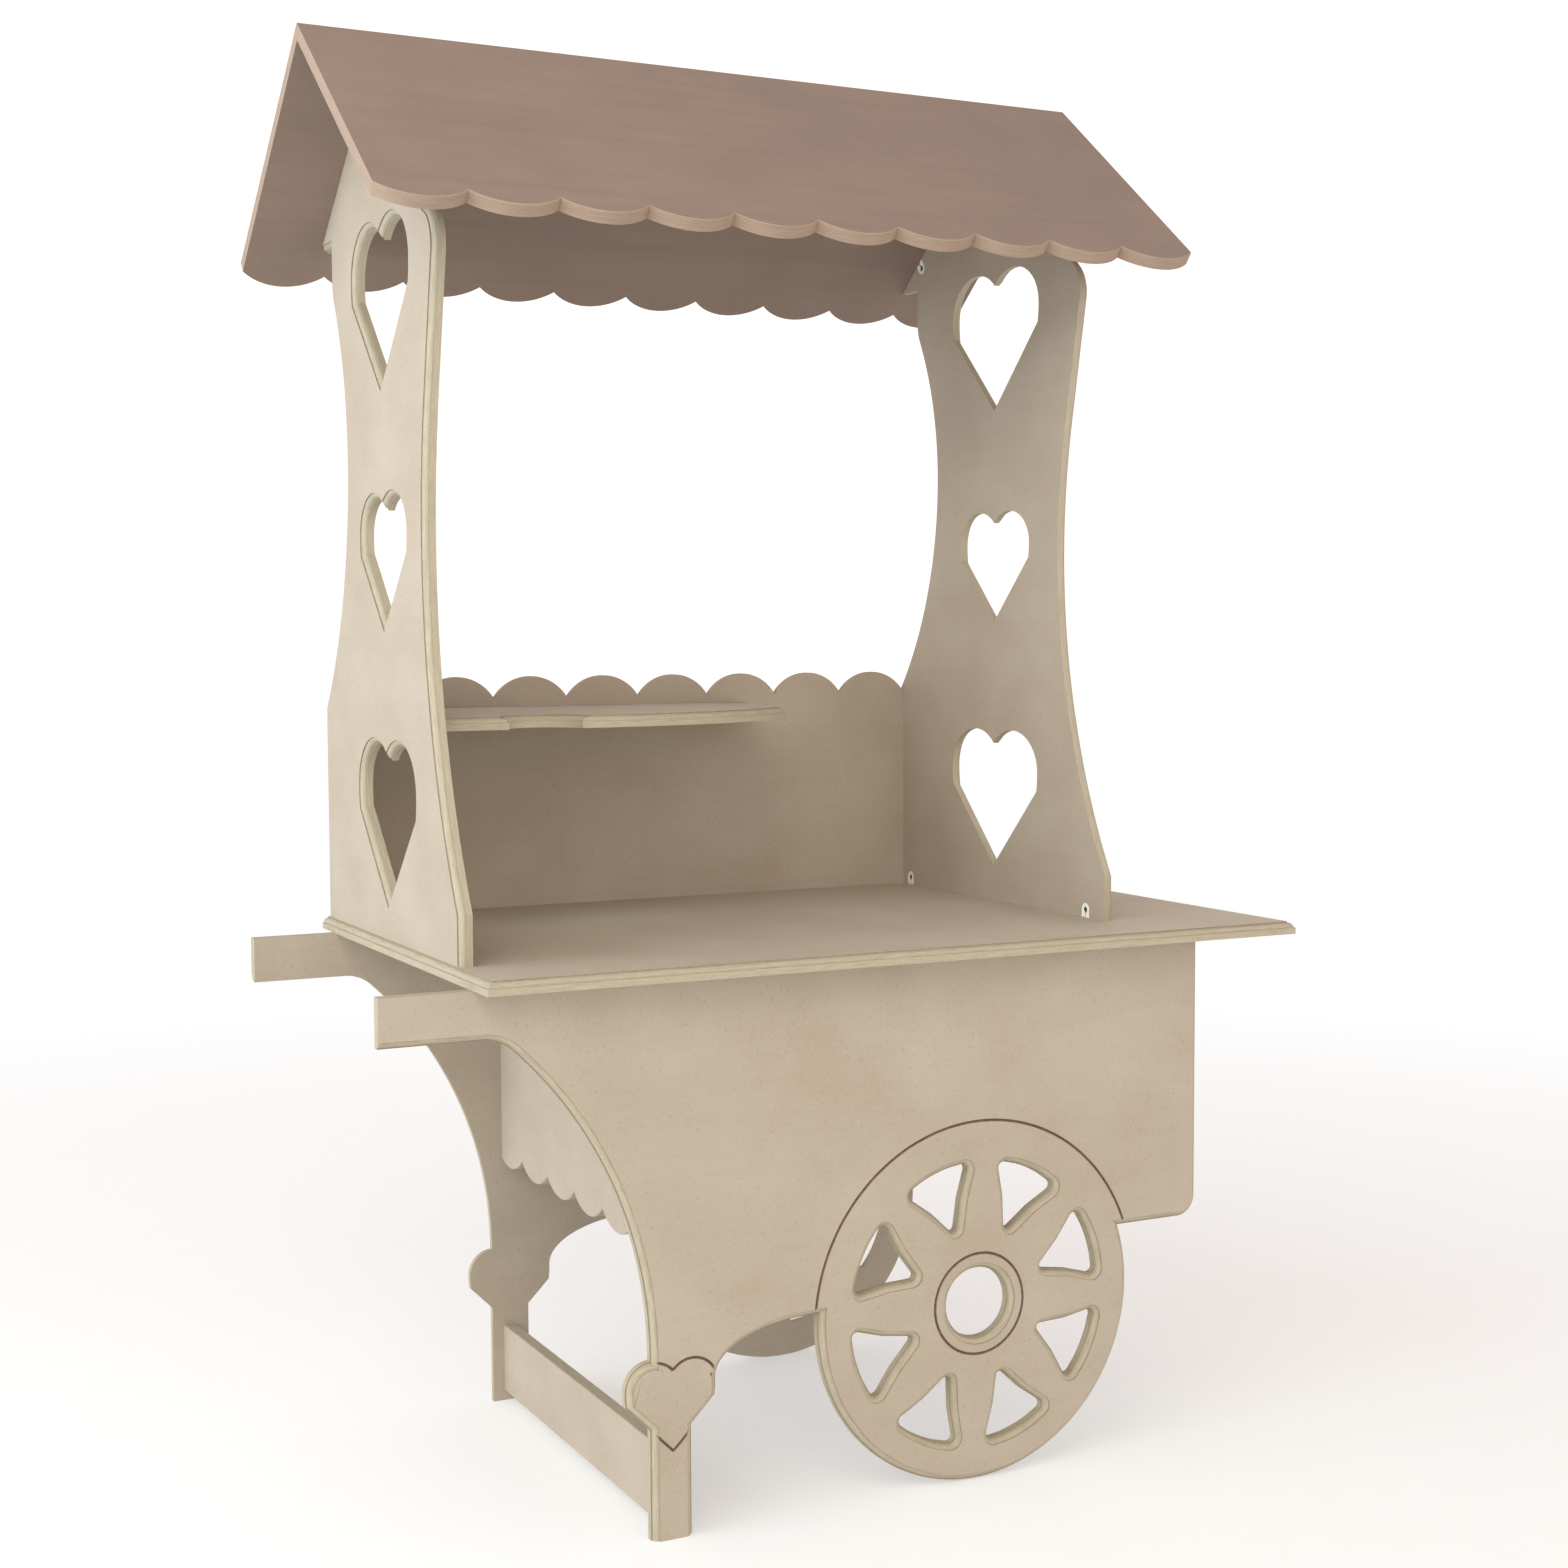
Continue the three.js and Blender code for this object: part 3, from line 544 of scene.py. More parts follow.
notchHalvings = 40  # steps of the search for the turn where a lobe meets its mirror image
innerHalf = panels["frameWidth"] / 2 - thickness
tableTop = panels["height"] + thickness

cartCorner = Vector((-panels["handleReach"], -panels["frameWidth"] / 2, 0))
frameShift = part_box("side_panel_front")[0] / millimetre - cartCorner
frameShift.z = 0


# A heart's outline, larger by an outset: straight from the tip to a corner at each side, then two
# quarters of ellipses up and over to the notch.
def heartRing(width, shares, x, tip, outset):
    corner = Vector((shares["cornerX"] * width, shares["cornerY"] * width))
    middle = Vector((shares["lobeX"] * width, shares["lobeY"] * width))
    reach, rise = shares["lobeA"] * width, shares["lobeB"] * width
    start = -math.acos((corner.x - middle.x) / reach)
    fall = (corner.y - middle.y) / math.sin(start)
    sideways = Vector((corner.y, -corner.x)).normalized()

    def along(turn, height):
        normal = Vector((math.cos(turn) / reach, math.sin(turn) / height)).normalized()
        return middle + Vector((reach * math.cos(turn), height * math.sin(turn))) + normal * outset

    first = Vector((math.cos(start) / reach, math.sin(start) / fall)).normalized()
    low, high = quarterTurn, halfTurn
    for _ in range(notchHalvings):
        notch = (low + high) / 2
        low, high = (notch, high) if along(notch, rise).x > 0 else (low, notch)
    lower, upper = boards["heartSteps"], boards["lobeSteps"]
    half = [corner + (sideways + first) * outset / (1 + sideways.dot(first))]
    half += [along(start * (1 - i / lower), fall) for i in range(1, lower)]
    half += [along(notch * i / upper, rise) for i in range(upper)]
    ends = Vector((0, -outset * corner.length / corner.x)), Vector((0, along(notch, rise).y))
    ring = [ends[0], *half, ends[1], *[Vector((-p.x, p.y)) for p in reversed(half)]]
    return [p + Vector((x, tip)) for p in ring]


def heartLoft(heart, sections):
    rings = []
    for inset, height, *_ in sections:
        rings.append([(p.x, p.y, height) for p in heartRing(*heart, -inset)])
    return lofted(rings, bandsOf(sections))


# The lines that a groove draws a heart with: a lobe and a straight side, left and right.
def heartLines(width, shares, x, tip):
    start = math.asin((shares["cornerY"] - shares["lobeY"]) / shares["lobeB"])
    end = math.acos(-shares["lobeX"] / shares["lobeA"])
    lobe = arc(0, 0, shares["lobeA"] * width, shares["lobeB"] * width, start, end)
    lines = []
    for side in (-1, 1):
        cx, cy = x + side * shares["lobeX"] * width, tip + shares["lobeY"] * width
        lines.append([Vector((cx + side * p.x, cy + p.y)) for p in lobe])
        corner = Vector((x + side * shares["cornerX"] * width, tip + shares["cornerY"] * width))
        lines.append([corner, Vector((x, tip))])
    return lines


# The outline through corners of (point, radius), each rounded by its radius.
def rounded(corners):
    points = []
    for i, (corner, radius) in enumerate(corners):
        if radius == 0:
            points.append(corner)
            continue
        before = (corners[i - 1][0] - corner).normalized()
        after = (corners[(i + 1) % len(corners)][0] - corner).normalized()
        half = math.acos(before.dot(after)) / 2
        centre = corner + (before + after).normalized() * radius / math.sin(half)
        first = corner + before * radius / math.tan(half) - centre
        start = math.atan2(first.y, first.x)
        turn = math.copysign(halfTurn - 2 * half, after.cross(before))
        points += roundArc(centre.x, centre.y, radius, start, start + turn)
    return points


# A window between two spokes, about the hub: round at the rim, pointed at the hub.
def windowPoints(turn):
    w = wheels
    rim = roundArc(0, 0, w["windowOuter"], -w["windowHalfAngle"], w["windowHalfAngle"])
    skipped = 1 + w["filletPoints"]
    corners = [
        (rim[0], w["cornerFillet"]),
        *[(p, 0) for p in rim[skipped:-skipped]],
        (rim[-1], w["cornerFillet"]),
        (Vector((w["windowBend"], w["windowBendHalf"])), 0),
        (Vector((w["windowInner"], 0)), w["tipFillet"]),
        (Vector((w["windowBend"], -w["windowBendHalf"])), 0),
    ]
    spun = Matrix.Rotation(turn, 2)
    return [spun @ p for p in rounded(corners)]


# A side panel's outline from the leg's foot: small arch, body, handle, and the large arch back.
def panelPoints():
    p = panels
    handleBottom = p["height"] - p["handleDepth"]
    filletY = handleBottom - p["handleFillet"]
    run = p["archRadius"] - p["handleFillet"]
    filletX = math.sqrt(run ** 2 - (filletY - p["archFoot"]) ** 2) - p["archRadius"]
    meet = math.atan2(filletY - p["archFoot"], filletX + p["archRadius"])
    smallEnd = wheels["x"] - wheels["radius"] - wheels["grooveOffset"]
    smallRun = smallEnd - p["legWidth"] / 2 - p["legHeart"] / 2
    handleEnd, top = -p["handleReach"] - mouldWidth, p["height"] + mouldWidth
    radius = p["cornerRadius"]
    return [
        Vector((0, -mouldWidth)),
        Vector((p["legWidth"], -mouldWidth)),
        Vector((p["legWidth"], p["smallArchFoot"])),
        *arc(smallEnd, p["smallArchFoot"], smallRun, p["smallArchRise"], halfTurn, quarterTurn),
        Vector((wheels["x"], p["smallArchFoot"] + p["smallArchRise"])),
        Vector((wheels["x"], p["bottom"])),
        *roundArc(p["length"] - radius, p["bottom"] + radius, radius, -quarterTurn, 0),
        Vector((p["length"], top)),
        Vector((handleEnd, top)),
        Vector((handleEnd, handleBottom)),
        *roundArc(filletX, filletY, p["handleFillet"], quarterTurn, meet),
        *roundArc(-p["archRadius"], p["archFoot"], p["archRadius"], meet, 0),
    ]


def sidePanel(name, hand):
    ends = sorted(x * hand for x in (-panels["handleReach"], panels["length"] + over))
    trim = rectangle(ends[0], 0, ends[1], panels["height"])
    legMiddle = hand * panels["legWidth"] / 2
    heart = (panels["legHeart"], legHeartShares, legMiddle, panels["legHeartTip"])
    radius = wheels["radius"]
    hub = Vector((hand * wheels["x"], radius))
    steps = [
        ("UNION", heartLoft(heart, edgeSections)),
        ("INTERSECT", prism(trim)),
        ("UNION", mouldedBlank(circle(*hub, radius))),
    ]
    steps += cuts(*[grooveLine(line) for line in heartLines(*heart)])
    steps += cuts(grooveRing(hub, radius + wheels["grooveOffset"]))
    steps += cuts(grooveRing(hub, wheels["hubGroove"]))
    steps += cuts(mouldedCutter(circle(*hub, wheels["hubHole"])))
    for i in range(wheels["spokes"]):
        turn = fullTurn * (i + 0.5) / wheels["spokes"] + hand * wheels["windowTurn"]
        steps += cuts(mouldedCutter(outline([p + hub for p in windowPoints(turn)])))
    return worked(name, mouldedBlank(outline(panelPoints(), hand)), steps, finishY)


# Each piece with the node that it stands for, the body that it rides on and its finish's slot.
dressed = []


def dress(piece, position, y, z, node, body="cart", slot="board"):
    setDown(piece, position, y, z)
    dressed.append((piece, node, body, slot))


dress(sidePanel("sidePanelFront", 1), (0, -innerHalf, 0), up, front, "side_panel_front")
dress(sidePanel("sidePanelBack", -1), (0, innerHalf, 0), up, back, "side_panel_back")
print("side panels ready")

# Table, fittings, uprights and roof are set out together, because they share the bay and the slope.
tableSizes = {"length": 1236, "width": 744, "reach": 236}
fittings = {
    "housingWidth": 20,
    "housingReach": 12,
    "housingDepth": 14.2,
    "lip": 1,
    "mouthRadius": 4.3,
    "slot": 2.6,
    "slotDepth": 5,
    "bevel": 0.5,
    "pitRadius": 1.8,
    "sides": 48,
    "camRadius": 6.2,
    "camCap": 3,
    "camSink": 0.4,
    "ringInner": 4.3,
    "clearance": 0.5,
    "crossLength": 8,
    "crossWidth": 1.6,
    "crossDepth": 2,
    "headRadius": 3.2,
    "neckRadius": 1.8,
    "boltRadius": 2.5,
    "boltGrip": 11,
    "footBack": 329,
    "footFront": 189,
    "gableReach": 298,
}
uprights = {
    "inset": 10,
    "bay": 965,
    "baseHalf": 305,
    "frontWaistHalf": 179,
    "frontWaistHeight": 540,
    "frontWaistRadius": 950,
    "frontShoulderHalf": 236,
    "frontShoulderHeight": 920,
    "frontShoulderRadius": 56,
    "frontNeckHalf": 201,
    "backWaistHalf": 173,
    "backWaistHeight": 670,
    "backLowerRadius": 540,
    "backUpperRadius": 480,
    "backShoulderHalf": 238,
    "backShoulderRadius": 60,
    "gableTipHalf": 288,
    "hearts": ((250, 56), (200, 438), (250, 766)),  # each one's width and the height of its tip
}
roofs = {
    "ridge": 1995,
    "slope": math.radians(38.5),
    "length": 1214,
    "drop": 454,
    "scallops": 10,
    "rise": 25,
}
camDepth = thickness / 2
boltHole = fittings["boltRadius"] + fitGap
boltDepth = fittings["boltGrip"] + fitGap
bayStart = uprights["inset"] + thickness - tableSizes["reach"]
bayMiddle = bayStart + uprights["bay"] / 2
tableBack = tableSizes["width"] / 2
ridgeY = tableBack - uprights["baseHalf"]
slope = roofs["slope"]
gablePeak = roofs["ridge"] - (thickness + fitGap) / math.cos(slope) - tableTop
gableTip = gablePeak - uprights["gableTipHalf"] * math.tan(slope)


def table():
    length, half = tableSizes["length"], tableBack
    blank = mouldedBlank(rectangle(0, -half, length, half + mouldWidth))
    steps = [("INTERSECT", prism(rectangle(-over, -half - over, length + over, half)))]
    first = uprights["inset"] + camDepth
    for x in (first, first + uprights["bay"] + thickness):
        for y in (fittings["footBack"], -fittings["footFront"]):
            steps += cuts(disc(x, y, boltHole, thickness - boltDepth, thickness + over))
    return worked("table", blank, steps, finishTablePaintedLight)


dress(table(), (-tableSizes["reach"], 0, panels["height"]), back, up, "table")
print("table ready")


# The edges of an upright from the foot up: hollow waists that run on into a round shoulder. Both
# are drawn at the right. The front one is turned over to the left afterwards.
def frontEdge():
    u = uprights
    hollow, bulge = u["frontWaistRadius"], u["frontShoulderRadius"]
    waist = Vector((u["frontWaistHalf"] + hollow, u["frontWaistHeight"]))
    shoulder = Vector((u["frontShoulderHalf"] - bulge, u["frontShoulderHeight"]))
    between = shoulder - waist
    lean = math.acos((hollow + bulge) / between.length)
    tangent = math.atan2(between.y, between.x) + lean
    foot = halfTurn + math.acos((waist.x - u["baseHalf"]) / hollow)
    neck = math.acos((u["frontNeckHalf"] - shoulder.x) / bulge)
    return [
        *roundArc(*waist, hollow, foot, tangent),
        *roundArc(*shoulder, bulge, tangent - halfTurn, neck),
    ]


def backEdge():
    u = uprights
    lower, upper, bulge = u["backLowerRadius"], u["backUpperRadius"], u["backShoulderRadius"]
    waistY = u["backWaistHeight"]
    lowerX, upperX = u["backWaistHalf"] + lower, u["backWaistHalf"] + upper
    foot = halfTurn + math.acos((lowerX - u["baseHalf"]) / lower)
    shoulderX = u["backShoulderHalf"] - bulge
    tangent = halfTurn - math.acos((upperX - shoulderX) / (upper + bulge))
    shoulderY = waistY + (upper + bulge) * math.sin(tangent)
    return [
        *roundArc(lowerX, waistY, lower, foot, halfTurn),
        *roundArc(upperX, waistY, upper, halfTurn, tangent),
        *roundArc(shoulderX, shoulderY, bulge, tangent - halfTurn, 0),
    ]


def uprightPoints():
    u = uprights
    slack = mouldWidth / math.cos(slope) + over
    tip = u["gableTipHalf"] + 2 * slack
    return [
        Vector((u["baseHalf"], -mouldWidth)),
        *backEdge(),
        Vector((u["backShoulderHalf"], gableTip)),
        Vector((tip, gableTip)),
        Vector((0, gablePeak + 2 * slack)),
        Vector((-tip, gableTip)),
        Vector((-u["frontNeckHalf"], gableTip)),
        *[Vector((-p.x, p.y)) for p in reversed(frontEdge())],
        Vector((-u["baseHalf"], -mouldWidth)),
    ]


# Places of the four fittings on an upright: (across, up, turn from one that stands on the foot).
def fittingPlaces():
    reach = fittings["gableReach"]
    across, height = reach * math.cos(slope), gablePeak - reach * math.sin(slope)
    feet = [(y - ridgeY, 0, 0) for y in (fittings["footBack"], -fittings["footFront"])]
    return feet + [(side * across, height, side * (halfTurn - slope)) for side in (1, -1)]


def housingPoints(gap, bottom):
    half = fittings["housingWidth"] / 2 + gap
    crown = roundArc(0, fittings["housingReach"], half, 0, halfTurn)
    return outline([Vector((-half, bottom)), Vector((half, bottom)), *crown])


# A fitting's housing: a horseshoe with a lip over the cam, and a slot down to the board's edge for
# the bolt. In housing and cam y runs into the board from its edge and z out of its face.
def housing(name):
    f = fittings
    reach, bevel = f["housingReach"], f["bevel"]
    floor = camDepth + f["headRadius"] + f["clearance"]
    sections = [(0, -f["housingDepth"]), (0, -bevel), (bevel, 0)]
    mouthSections = [(0, -floor), (0, -bevel), (-bevel, 0), (-bevel, over)]
    bore = bmesh.new()
    bmesh.ops.create_cone(
        bore, cap_ends=True, segments=f["sides"],
        radius1=boltHole, radius2=boltHole, depth=reach + over,
    )
    upended = Matrix.Rotation(quarterTurn, 3, "X")
    bmesh.ops.rotate(bore, cent=(0, 0, 0), matrix=upended, verts=bore.verts)
    bmesh.ops.translate(bore, vec=(0, (reach - over) / 2, -camDepth), verts=bore.verts)
    steps = cuts(
        disc(0, reach, f["camRadius"] + f["clearance"], -floor, -f["lip"]),
        stacked(circle(0, reach, f["mouthRadius"]), mouthSections),
        bore,
        prism(rectangle(-f["slot"] / 2, -over, f["slot"] / 2, reach), -f["slotDepth"], over),
    )
    return worked(name, stacked(housingPoints(0, fitGap), sections), steps, [nylon, nylon])


# The cam: a cap with a cross and a pit for the screwdriver, over the ring that hooks the bolt.
def cam(name):
    f = fittings
    radius, top = f["camRadius"], -f["lip"] - f["camSink"]
    under, bottom = -f["camSink"] - f["camCap"], -camDepth - f["headRadius"]
    entry, slot = f["headRadius"] + f["clearance"], f["neckRadius"] + f["clearance"]
    reach, crossBottom = radius + over, top - f["crossDepth"]
    pitSections = [(f["bevel"], crossBottom), (0, top + over)]
    length, width = f["crossLength"] / 2, f["crossWidth"] / 2
    steps = cuts(
        disc(0, 0, f["ringInner"], bottom - over, under),
        prism(rectangle(-entry, 0, entry, reach), bottom - over, under),
        prism(rectangle(-reach, -reach, slot, reach), -camDepth - slot, slot - camDepth),
        stacked(circle(0, 0, f["pitRadius"]), pitSections),
        prism(rectangle(-length, -width, length, width), crossBottom, over),
        prism(rectangle(-width, -length, width, length), crossBottom, over),
    )
    return worked(name, disc(0, 0, radius, bottom, top), steps, [castZinc, castZinc])


# The four fittings of an upright, let into its inner face.
def fit(side, hand, origin, outward):
    outward, upward = Vector(outward), Vector(up)
    base = Matrix((upward.cross(outward), upward, outward)).transposed()
    names = ("foot_back", "foot_front", "gable_back", "gable_front")
    for name, (x, y, turn) in zip(names, fittingPlaces()):
        into = base @ Vector((-math.sin(hand * turn), math.cos(hand * turn), 0))
        seat = Vector(origin) + base @ Vector((hand * x, y, 0))
        middle = seat + into * fittings["housingReach"]
        node = f"{name}_{side}"
        label = "".join(word.capitalize() for word in node.split("_"))
        dress(
            housing(f"housing{label}"), seat, into, -outward,
            f"{node}_housing", slot="fitting_housing",
        )
        dress(
            cam(f"cam{label}"), middle, into, -outward,
            f"{node}_cam", f"cam_{node}", "fitting_cam",
        )


def upright(name, hand):
    wide = uprights["baseHalf"] + over
    eaves = gablePeak - wide * math.tan(slope)
    corners = ((-wide, 0), (wide, 0), (wide, eaves), (0, gablePeak), (-wide, eaves))
    steps = [("INTERSECT", prism(outline([Vector(p) for p in corners])))]
    for width, tip in uprights["hearts"]:
        steps += cuts(heartLoft((width, heartShares, 0, tip), openingSections))
    for x, y, turn in fittingPlaces():
        spun = Matrix.Rotation(hand * turn, 2)
        socket = [spun @ p + Vector((hand * x, y)) for p in housingPoints(fitGap, -over)]
        steps += cuts(prism(socket, -over, fittings["housingDepth"] + fitGap))
    return worked(name, mouldedBlank(outline(uprightPoints(), hand)), steps, finishX)


leftSeat = (bayStart, ridgeY, tableTop)
rightSeat = (bayStart + uprights["bay"], ridgeY, tableTop)
dress(upright("uprightLeft", -1), leftSeat, up, left, "upright_left")
dress(upright("uprightRight", 1), rightSeat, up, right, "upright_right")
fit("left", -1, leftSeat, left)
fit("right", 1, rightSeat, right)
print("uprights ready")


# A hem of equal arcs that hang down to a lowest height.
def scallops(length, count, rise, lowest):
    pitch = length / count
    radius = (pitch * pitch / 4 + rise * rise) / (2 * rise)
    half = math.asin(pitch / 2 / radius)
    points = []
    for i in range(count):
        middle = pitch * (i + 0.5) - length / 2
        points += roundArc(middle, lowest + radius, radius, -quarterTurn - half, half - quarterTurn)
    return points


# The outline between a hem and the straight edge across from it, turned over so that the hem lies
# at positive y. Its sides stand out by the moulding's width, for the trim to cut off.
def hemmed(half, hem, top):
    wide = half + mouldWidth
    corners = [Vector((wide, top)), Vector((-wide, top)), Vector((-wide, hem[0].y))]
    return outline([Vector((p.x, -p.y)) for p in [*corners, *hem, Vector((wide, hem[0].y))]])


def roofSlab(name, finish):
    half, reach = roofs["length"] / 2, thickness + mouldWidth
    hem = scallops(roofs["length"], roofs["scallops"], roofs["rise"], -roofs["drop"])
    steps = [("INTERSECT", prism(rectangle(-half, -reach, half, roofs["drop"] + over)))]
    mitre = bmesh.new()
    bmesh.ops.create_cube(mitre, size=1)
    size = (roofs["length"] + 2 * over, 2 * reach, 4 * reach)
    bmesh.ops.scale(mitre, vec=size, verts=mitre.verts)
    bmesh.ops.translate(mitre, vec=(0, fitGap / 2 - reach, 0), verts=mitre.verts)
    tilted = Matrix.Rotation(slope, 3, "X")
    bmesh.ops.rotate(mitre, cent=(0, 0, 0), matrix=tilted, verts=mitre.verts)
    bmesh.ops.translate(mitre, vec=(0, 0, thickness), verts=mitre.verts)
    for face in mitre.faces:
        face.material_index = edgeSlot
    boltX = uprights["bay"] / 2 + camDepth
    boltY = fittings["gableReach"] + (thickness + fitGap) * math.tan(slope)
    steps += cuts(mitre, *[disc(x, boltY, boltHole, -over, boltDepth) for x in (-boltX, boltX)])
    return worked(name, easedBlank(hemmed(half, hem, mouldWidth + over)), steps, finish)


roofSides = (
    ("roofFront", "roof_front", -1, "FrontSlopePaintedShade"),
    ("roofBack", "roof_back", 1, "BackSlopePaintedShade"),
)
for name, node, side, label in roofSides:
    down = Vector((0, side * math.cos(slope), -math.sin(slope)))
    out = Vector((0, side * math.sin(slope), math.cos(slope)))
    ridge = Vector((bayMiddle, ridgeY, roofs["ridge"])) - out * thickness
    # The roof's edge colours are a darker, redder copy: painted shade.
    finish = finishFor(paintedShadeRoofFace, edgeLooks["roof"], (side * slope, 0, 0), label)
    dress(roofSlab(name, finish), ridge, down, out, node)
print("roof ready")

backPanelSizes = {"height": 357, "scallops": 8, "rise": 34}


def backPanel():
    s = backPanelSizes
    half = uprights["bay"] / 2
    crest = scallops(uprights["bay"], s["scallops"], s["rise"], -s["height"])
    trim = rectangle(-half, 0, half, s["height"] + over)
    return trimmed("backPanel", mouldedBlank(hemmed(half, crest, mouldWidth)), trim, finishY)


shelfSizes = {
    "height": 311,
    "length": 671,
    "depth": 424,
    "notchStart": 113,
    "notchRadius": 53,
    "sweepRadius": 560,
    "tipLength": 613,
}


def shelf():
    s = shelfSizes
    depth, notch, sweep = s["depth"], s["notchRadius"], s["sweepRadius"]
    notchX = s["notchStart"] + notch
    sweepX, sweepY = notchX + notch, sweep - depth
    tip = math.acos((s["tipLength"] - sweepX) / sweep)
    tipDepth = sweep * math.sin(tip) - sweepY
    past = mouldWidth + over
    shape = outline([
        Vector((s["length"] + past * (s["length"] - s["tipLength"]) / tipDepth, past)),
        Vector((-mouldWidth, past)),
        Vector((-mouldWidth, -depth)),
        *roundArc(notchX, -depth, notch, halfTurn, 0),
        *roundArc(sweepX, sweepY, sweep, -quarterTurn, -tip),
    ])
    trim = rectangle(0, -depth - over, s["length"] + over, 0)
    return trimmed("shelf", mouldedBlank(shape), trim, finishZ)


apronSizes = {"setback": 18, "depth": 372, "scallops": 6, "rise": 22}


def apron(name):
    s = apronSizes
    width = panels["frameWidth"]
    hem = scallops(width, s["scallops"], s["rise"], -s["depth"])
    shape = outline([*hem, Vector((width / 2, mouldWidth)), Vector((-width / 2, mouldWidth))])
    trim = rectangle(-innerHalf, -s["depth"] - over, innerHalf, 0)
    return trimmed(name, easedBlank(shape), trim, finishX)


stretcherSizes = {"bottom": 15, "height": 103}


def stretcher():
    wide, height = innerHalf + mouldWidth, stretcherSizes["height"]
    trim = rectangle(-innerHalf, -over, innerHalf, height + over)
    return trimmed("stretcher", easedBlank(rectangle(-wide, 0, wide, height)), trim, finishX)


legFace = apronSizes["setback"] + thickness
rightFace = panels["length"] - legFace
backFace = tableBack - thickness
shelfBottom = tableTop + shelfSizes["height"] - thickness
dress(backPanel(), (bayMiddle, backFace, tableTop), up, back, "back_panel")
dress(shelf(), (bayStart, backFace, shelfBottom), back, up, "shelf")
dress(apron("apronLeft"), (legFace, 0, panels["height"]), up, left, "apron_left")
dress(apron("apronRight"), (rightFace, 0, panels["height"]), up, right, "apron_right")
dress(stretcher(), (legFace, 0, stretcherSizes["bottom"]), up, left, "stretcher")
print("boards ready")


def aim(direction):
    side = direction.cross(Vector(up)).normalized()
    return Matrix((side, side.cross(direction), -direction)).transposed().to_4x4()


def areaLight(name, position, target, size, power, colour):
    lamp = bpy.data.lights.new(name, "AREA")
    lamp.shape = "RECTANGLE"
    lamp.size, lamp.size_y = size
    lamp.energy = power
    lamp.color = linear(colour)[:3]
    holder = bpy.data.objects.new(name, lamp)
    towards = (Vector(target) - Vector(position)).normalized()
    holder.matrix_world = Matrix.Translation(position) @ aim(towards)
    bpy.context.scene.collection.objects.link(holder)


# A pale floor that takes soft shadows near the cart and fades into the white room away from it.
def paleFloor():
    material, tree, shader = newMaterial("paleStudioFloor")
    settings = {
        "fadeSpan": (1.2, 4.0),
        "leastGlow": 0.35,
        "grain": ((60, 60, 60), 2.0, 0.5),
        "colour": "#F8F8F6",
        "shade": "#F4F4F2",
        "roughness": 0.9,
        "relief": (0.05, 0.1),
        "segments": 96,
        "radius": 30,
    }
    where = addNode(tree, "ShaderNodeTexCoord").outputs["Object"]
    length = addNode(tree, "ShaderNodeVectorMath", {"operation": "LENGTH"}, {0: where})
    glowRange = (settings["leastGlow"], 1)
    fade = ramp(tree, length.outputs["Value"], settings["fadeSpan"], glowRange)
    grain = grainNoise(tree, settings["grain"])
    colour = mixed(tree, grain, linear(settings["colour"]), linear(settings["shade"]))
    finished(tree, shader, colour, settings["roughness"], grain, settings["relief"])
    glow = addNode(tree, "ShaderNodeEmission", {"Color": (1, 1, 1, 1), "Strength": 1.0})
    sources = {0: fade, 1: shader.outputs[0], 2: glow.outputs[0]}
    blend = addNode(tree, "ShaderNodeMixShader", {}, sources)
    tree.links.new(blend.outputs[0], tree.nodes["Material Output"].inputs["Surface"])
    bm = bmesh.new()
    bmesh.ops.create_circle(
        bm, cap_ends=True, segments=settings["segments"], radius=settings["radius"],
    )
    floor = asObject("studioFloor", bm, [material])


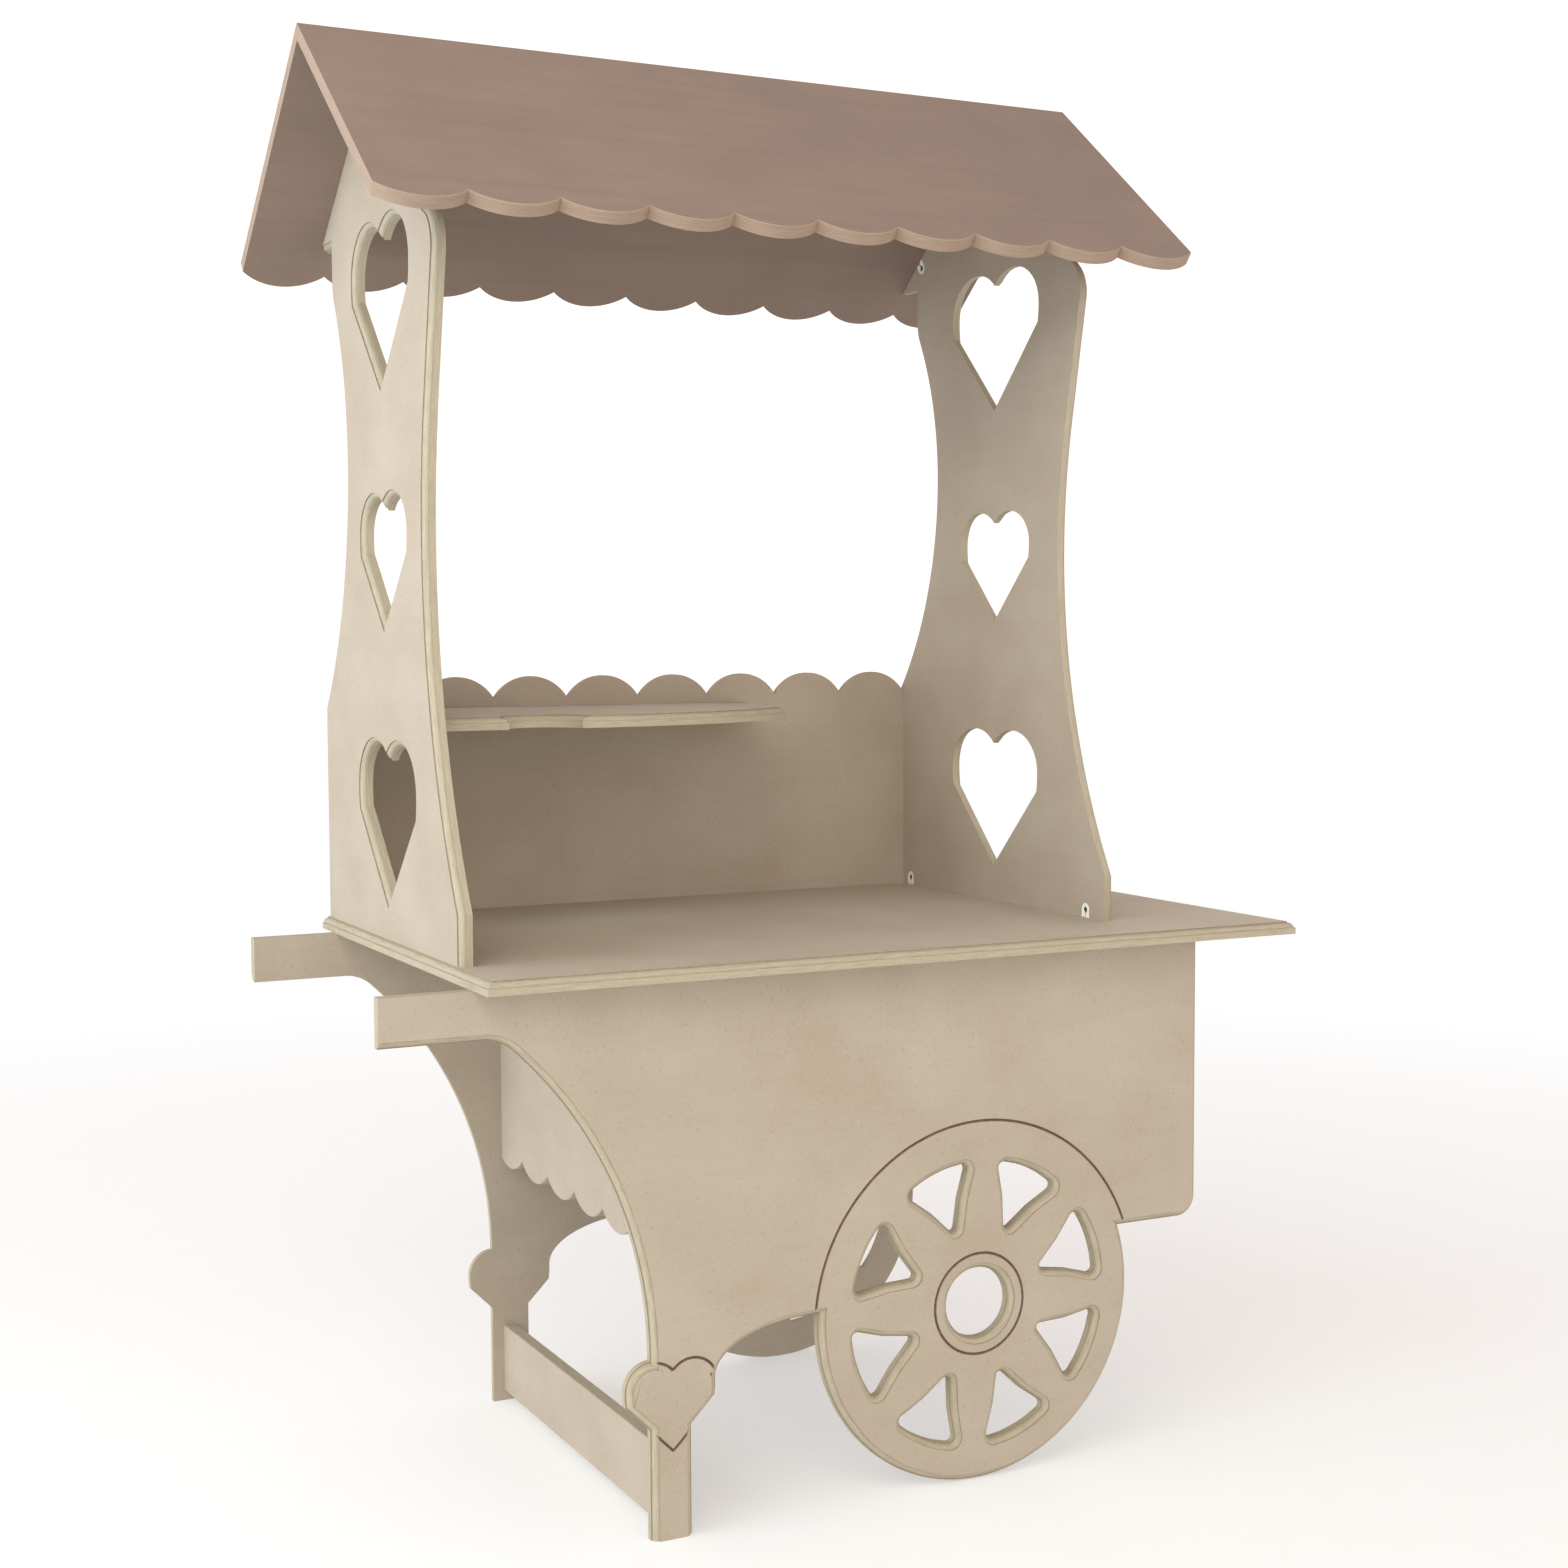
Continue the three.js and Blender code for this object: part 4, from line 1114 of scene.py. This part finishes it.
studio = {
    "wall": 1.2,  # strength of the warm white all round, which the picture shows as plain white
    "ceiling": 0.5,  # and of the darker part of the room above it
    "fadeSpan": (0.45, 0.9),  # how far a direction points upward, from the one to the other
    "white": (1, 0.9, 0.87, 1),
}
lights = {
    "windowLeft": {
        "position": (-4.2, -0.6, 1.9),
        "target": (0, 0, 1.1),
        "size": (2.6, 2.6),
        "power": 118,
        "colour": "#DFF3FF",
    },
    "softFront": {
        "position": (-2.3, -2.7, 3.6),
        "target": (-0.2, 0, 1.0),
        "size": (2.6, 2.4),
        "power": 56,
        "colour": "#FFFFF4",
    },
    "lowFill": {
        "position": (0.4, -4.0, 0.9),
        "target": (-0.2, 0, 0.9),
        "size": (2.0, 1.0),
        "power": 18,
        "colour": "#FFFFF4",
    },
}
# The camera, fitted to the photograph. Its width and focal length are in pixels.
photograph = {
    "width": 1568,
    "focal": 2287.89,
    "sensor": 36,
    "yaw": math.radians(-26.6547),
    "pitch": math.radians(-3.7624),
    "roll": math.radians(-0.2445),
    "eye": (-1.4707, -3.0204, 1.1812),
}
world = bpy.data.worlds.new("whiteStudio")
bpy.context.scene.world = world
world.use_nodes = True
room = world.node_tree
background = room.nodes["Background"]
towards = addNode(room, "ShaderNodeTexCoord").outputs["Generated"]
upward = addNode(room, "ShaderNodeSeparateXYZ", {}, {0: towards}).outputs["Z"]
dimmed = ramp(room, upward, studio["fadeSpan"], (studio["wall"], studio["ceiling"]))
background.inputs["Color"].default_value = studio["white"]
room.links.new(dimmed, background.inputs["Strength"])
bpy.context.scene.view_settings.view_transform = "Standard"
paleFloor()
for name, light in lights.items():
    areaLight(name, **light)

yaw, pitch, roll = photograph["yaw"], photograph["pitch"], photograph["roll"]
across = Vector((math.cos(yaw), math.sin(yaw), 0))
ahead = Vector((
    -math.sin(yaw) * math.cos(pitch),
    math.cos(yaw) * math.cos(pitch),
    math.sin(pitch),
))
above = across.cross(ahead)
side = across * math.cos(roll) + above * math.sin(roll)
top = above * math.cos(roll) - across * math.sin(roll)
lens = bpy.data.cameras.new("photographCamera")
lens.sensor_width = photograph["sensor"]
lens.lens = photograph["focal"] / photograph["width"] * lens.sensor_width
camera = bpy.data.objects.new("photographCamera", lens)
turned = Matrix((side, top, -ahead)).transposed().to_4x4()
camera.matrix_world = Matrix.Translation(photograph["eye"]) @ turned
bpy.context.scene.collection.objects.link(camera)
bpy.context.scene.camera = camera
print("stage ready")

for piece, node, body, slot in dressed:
    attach(piece, body)
    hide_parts(node)
for name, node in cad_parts.items():
    if name.endswith("_bolt"):
        node.data.materials.clear()
        node.data.materials.append(platedSteel)

bpy.context.view_layer.update()
print("pieces riding")
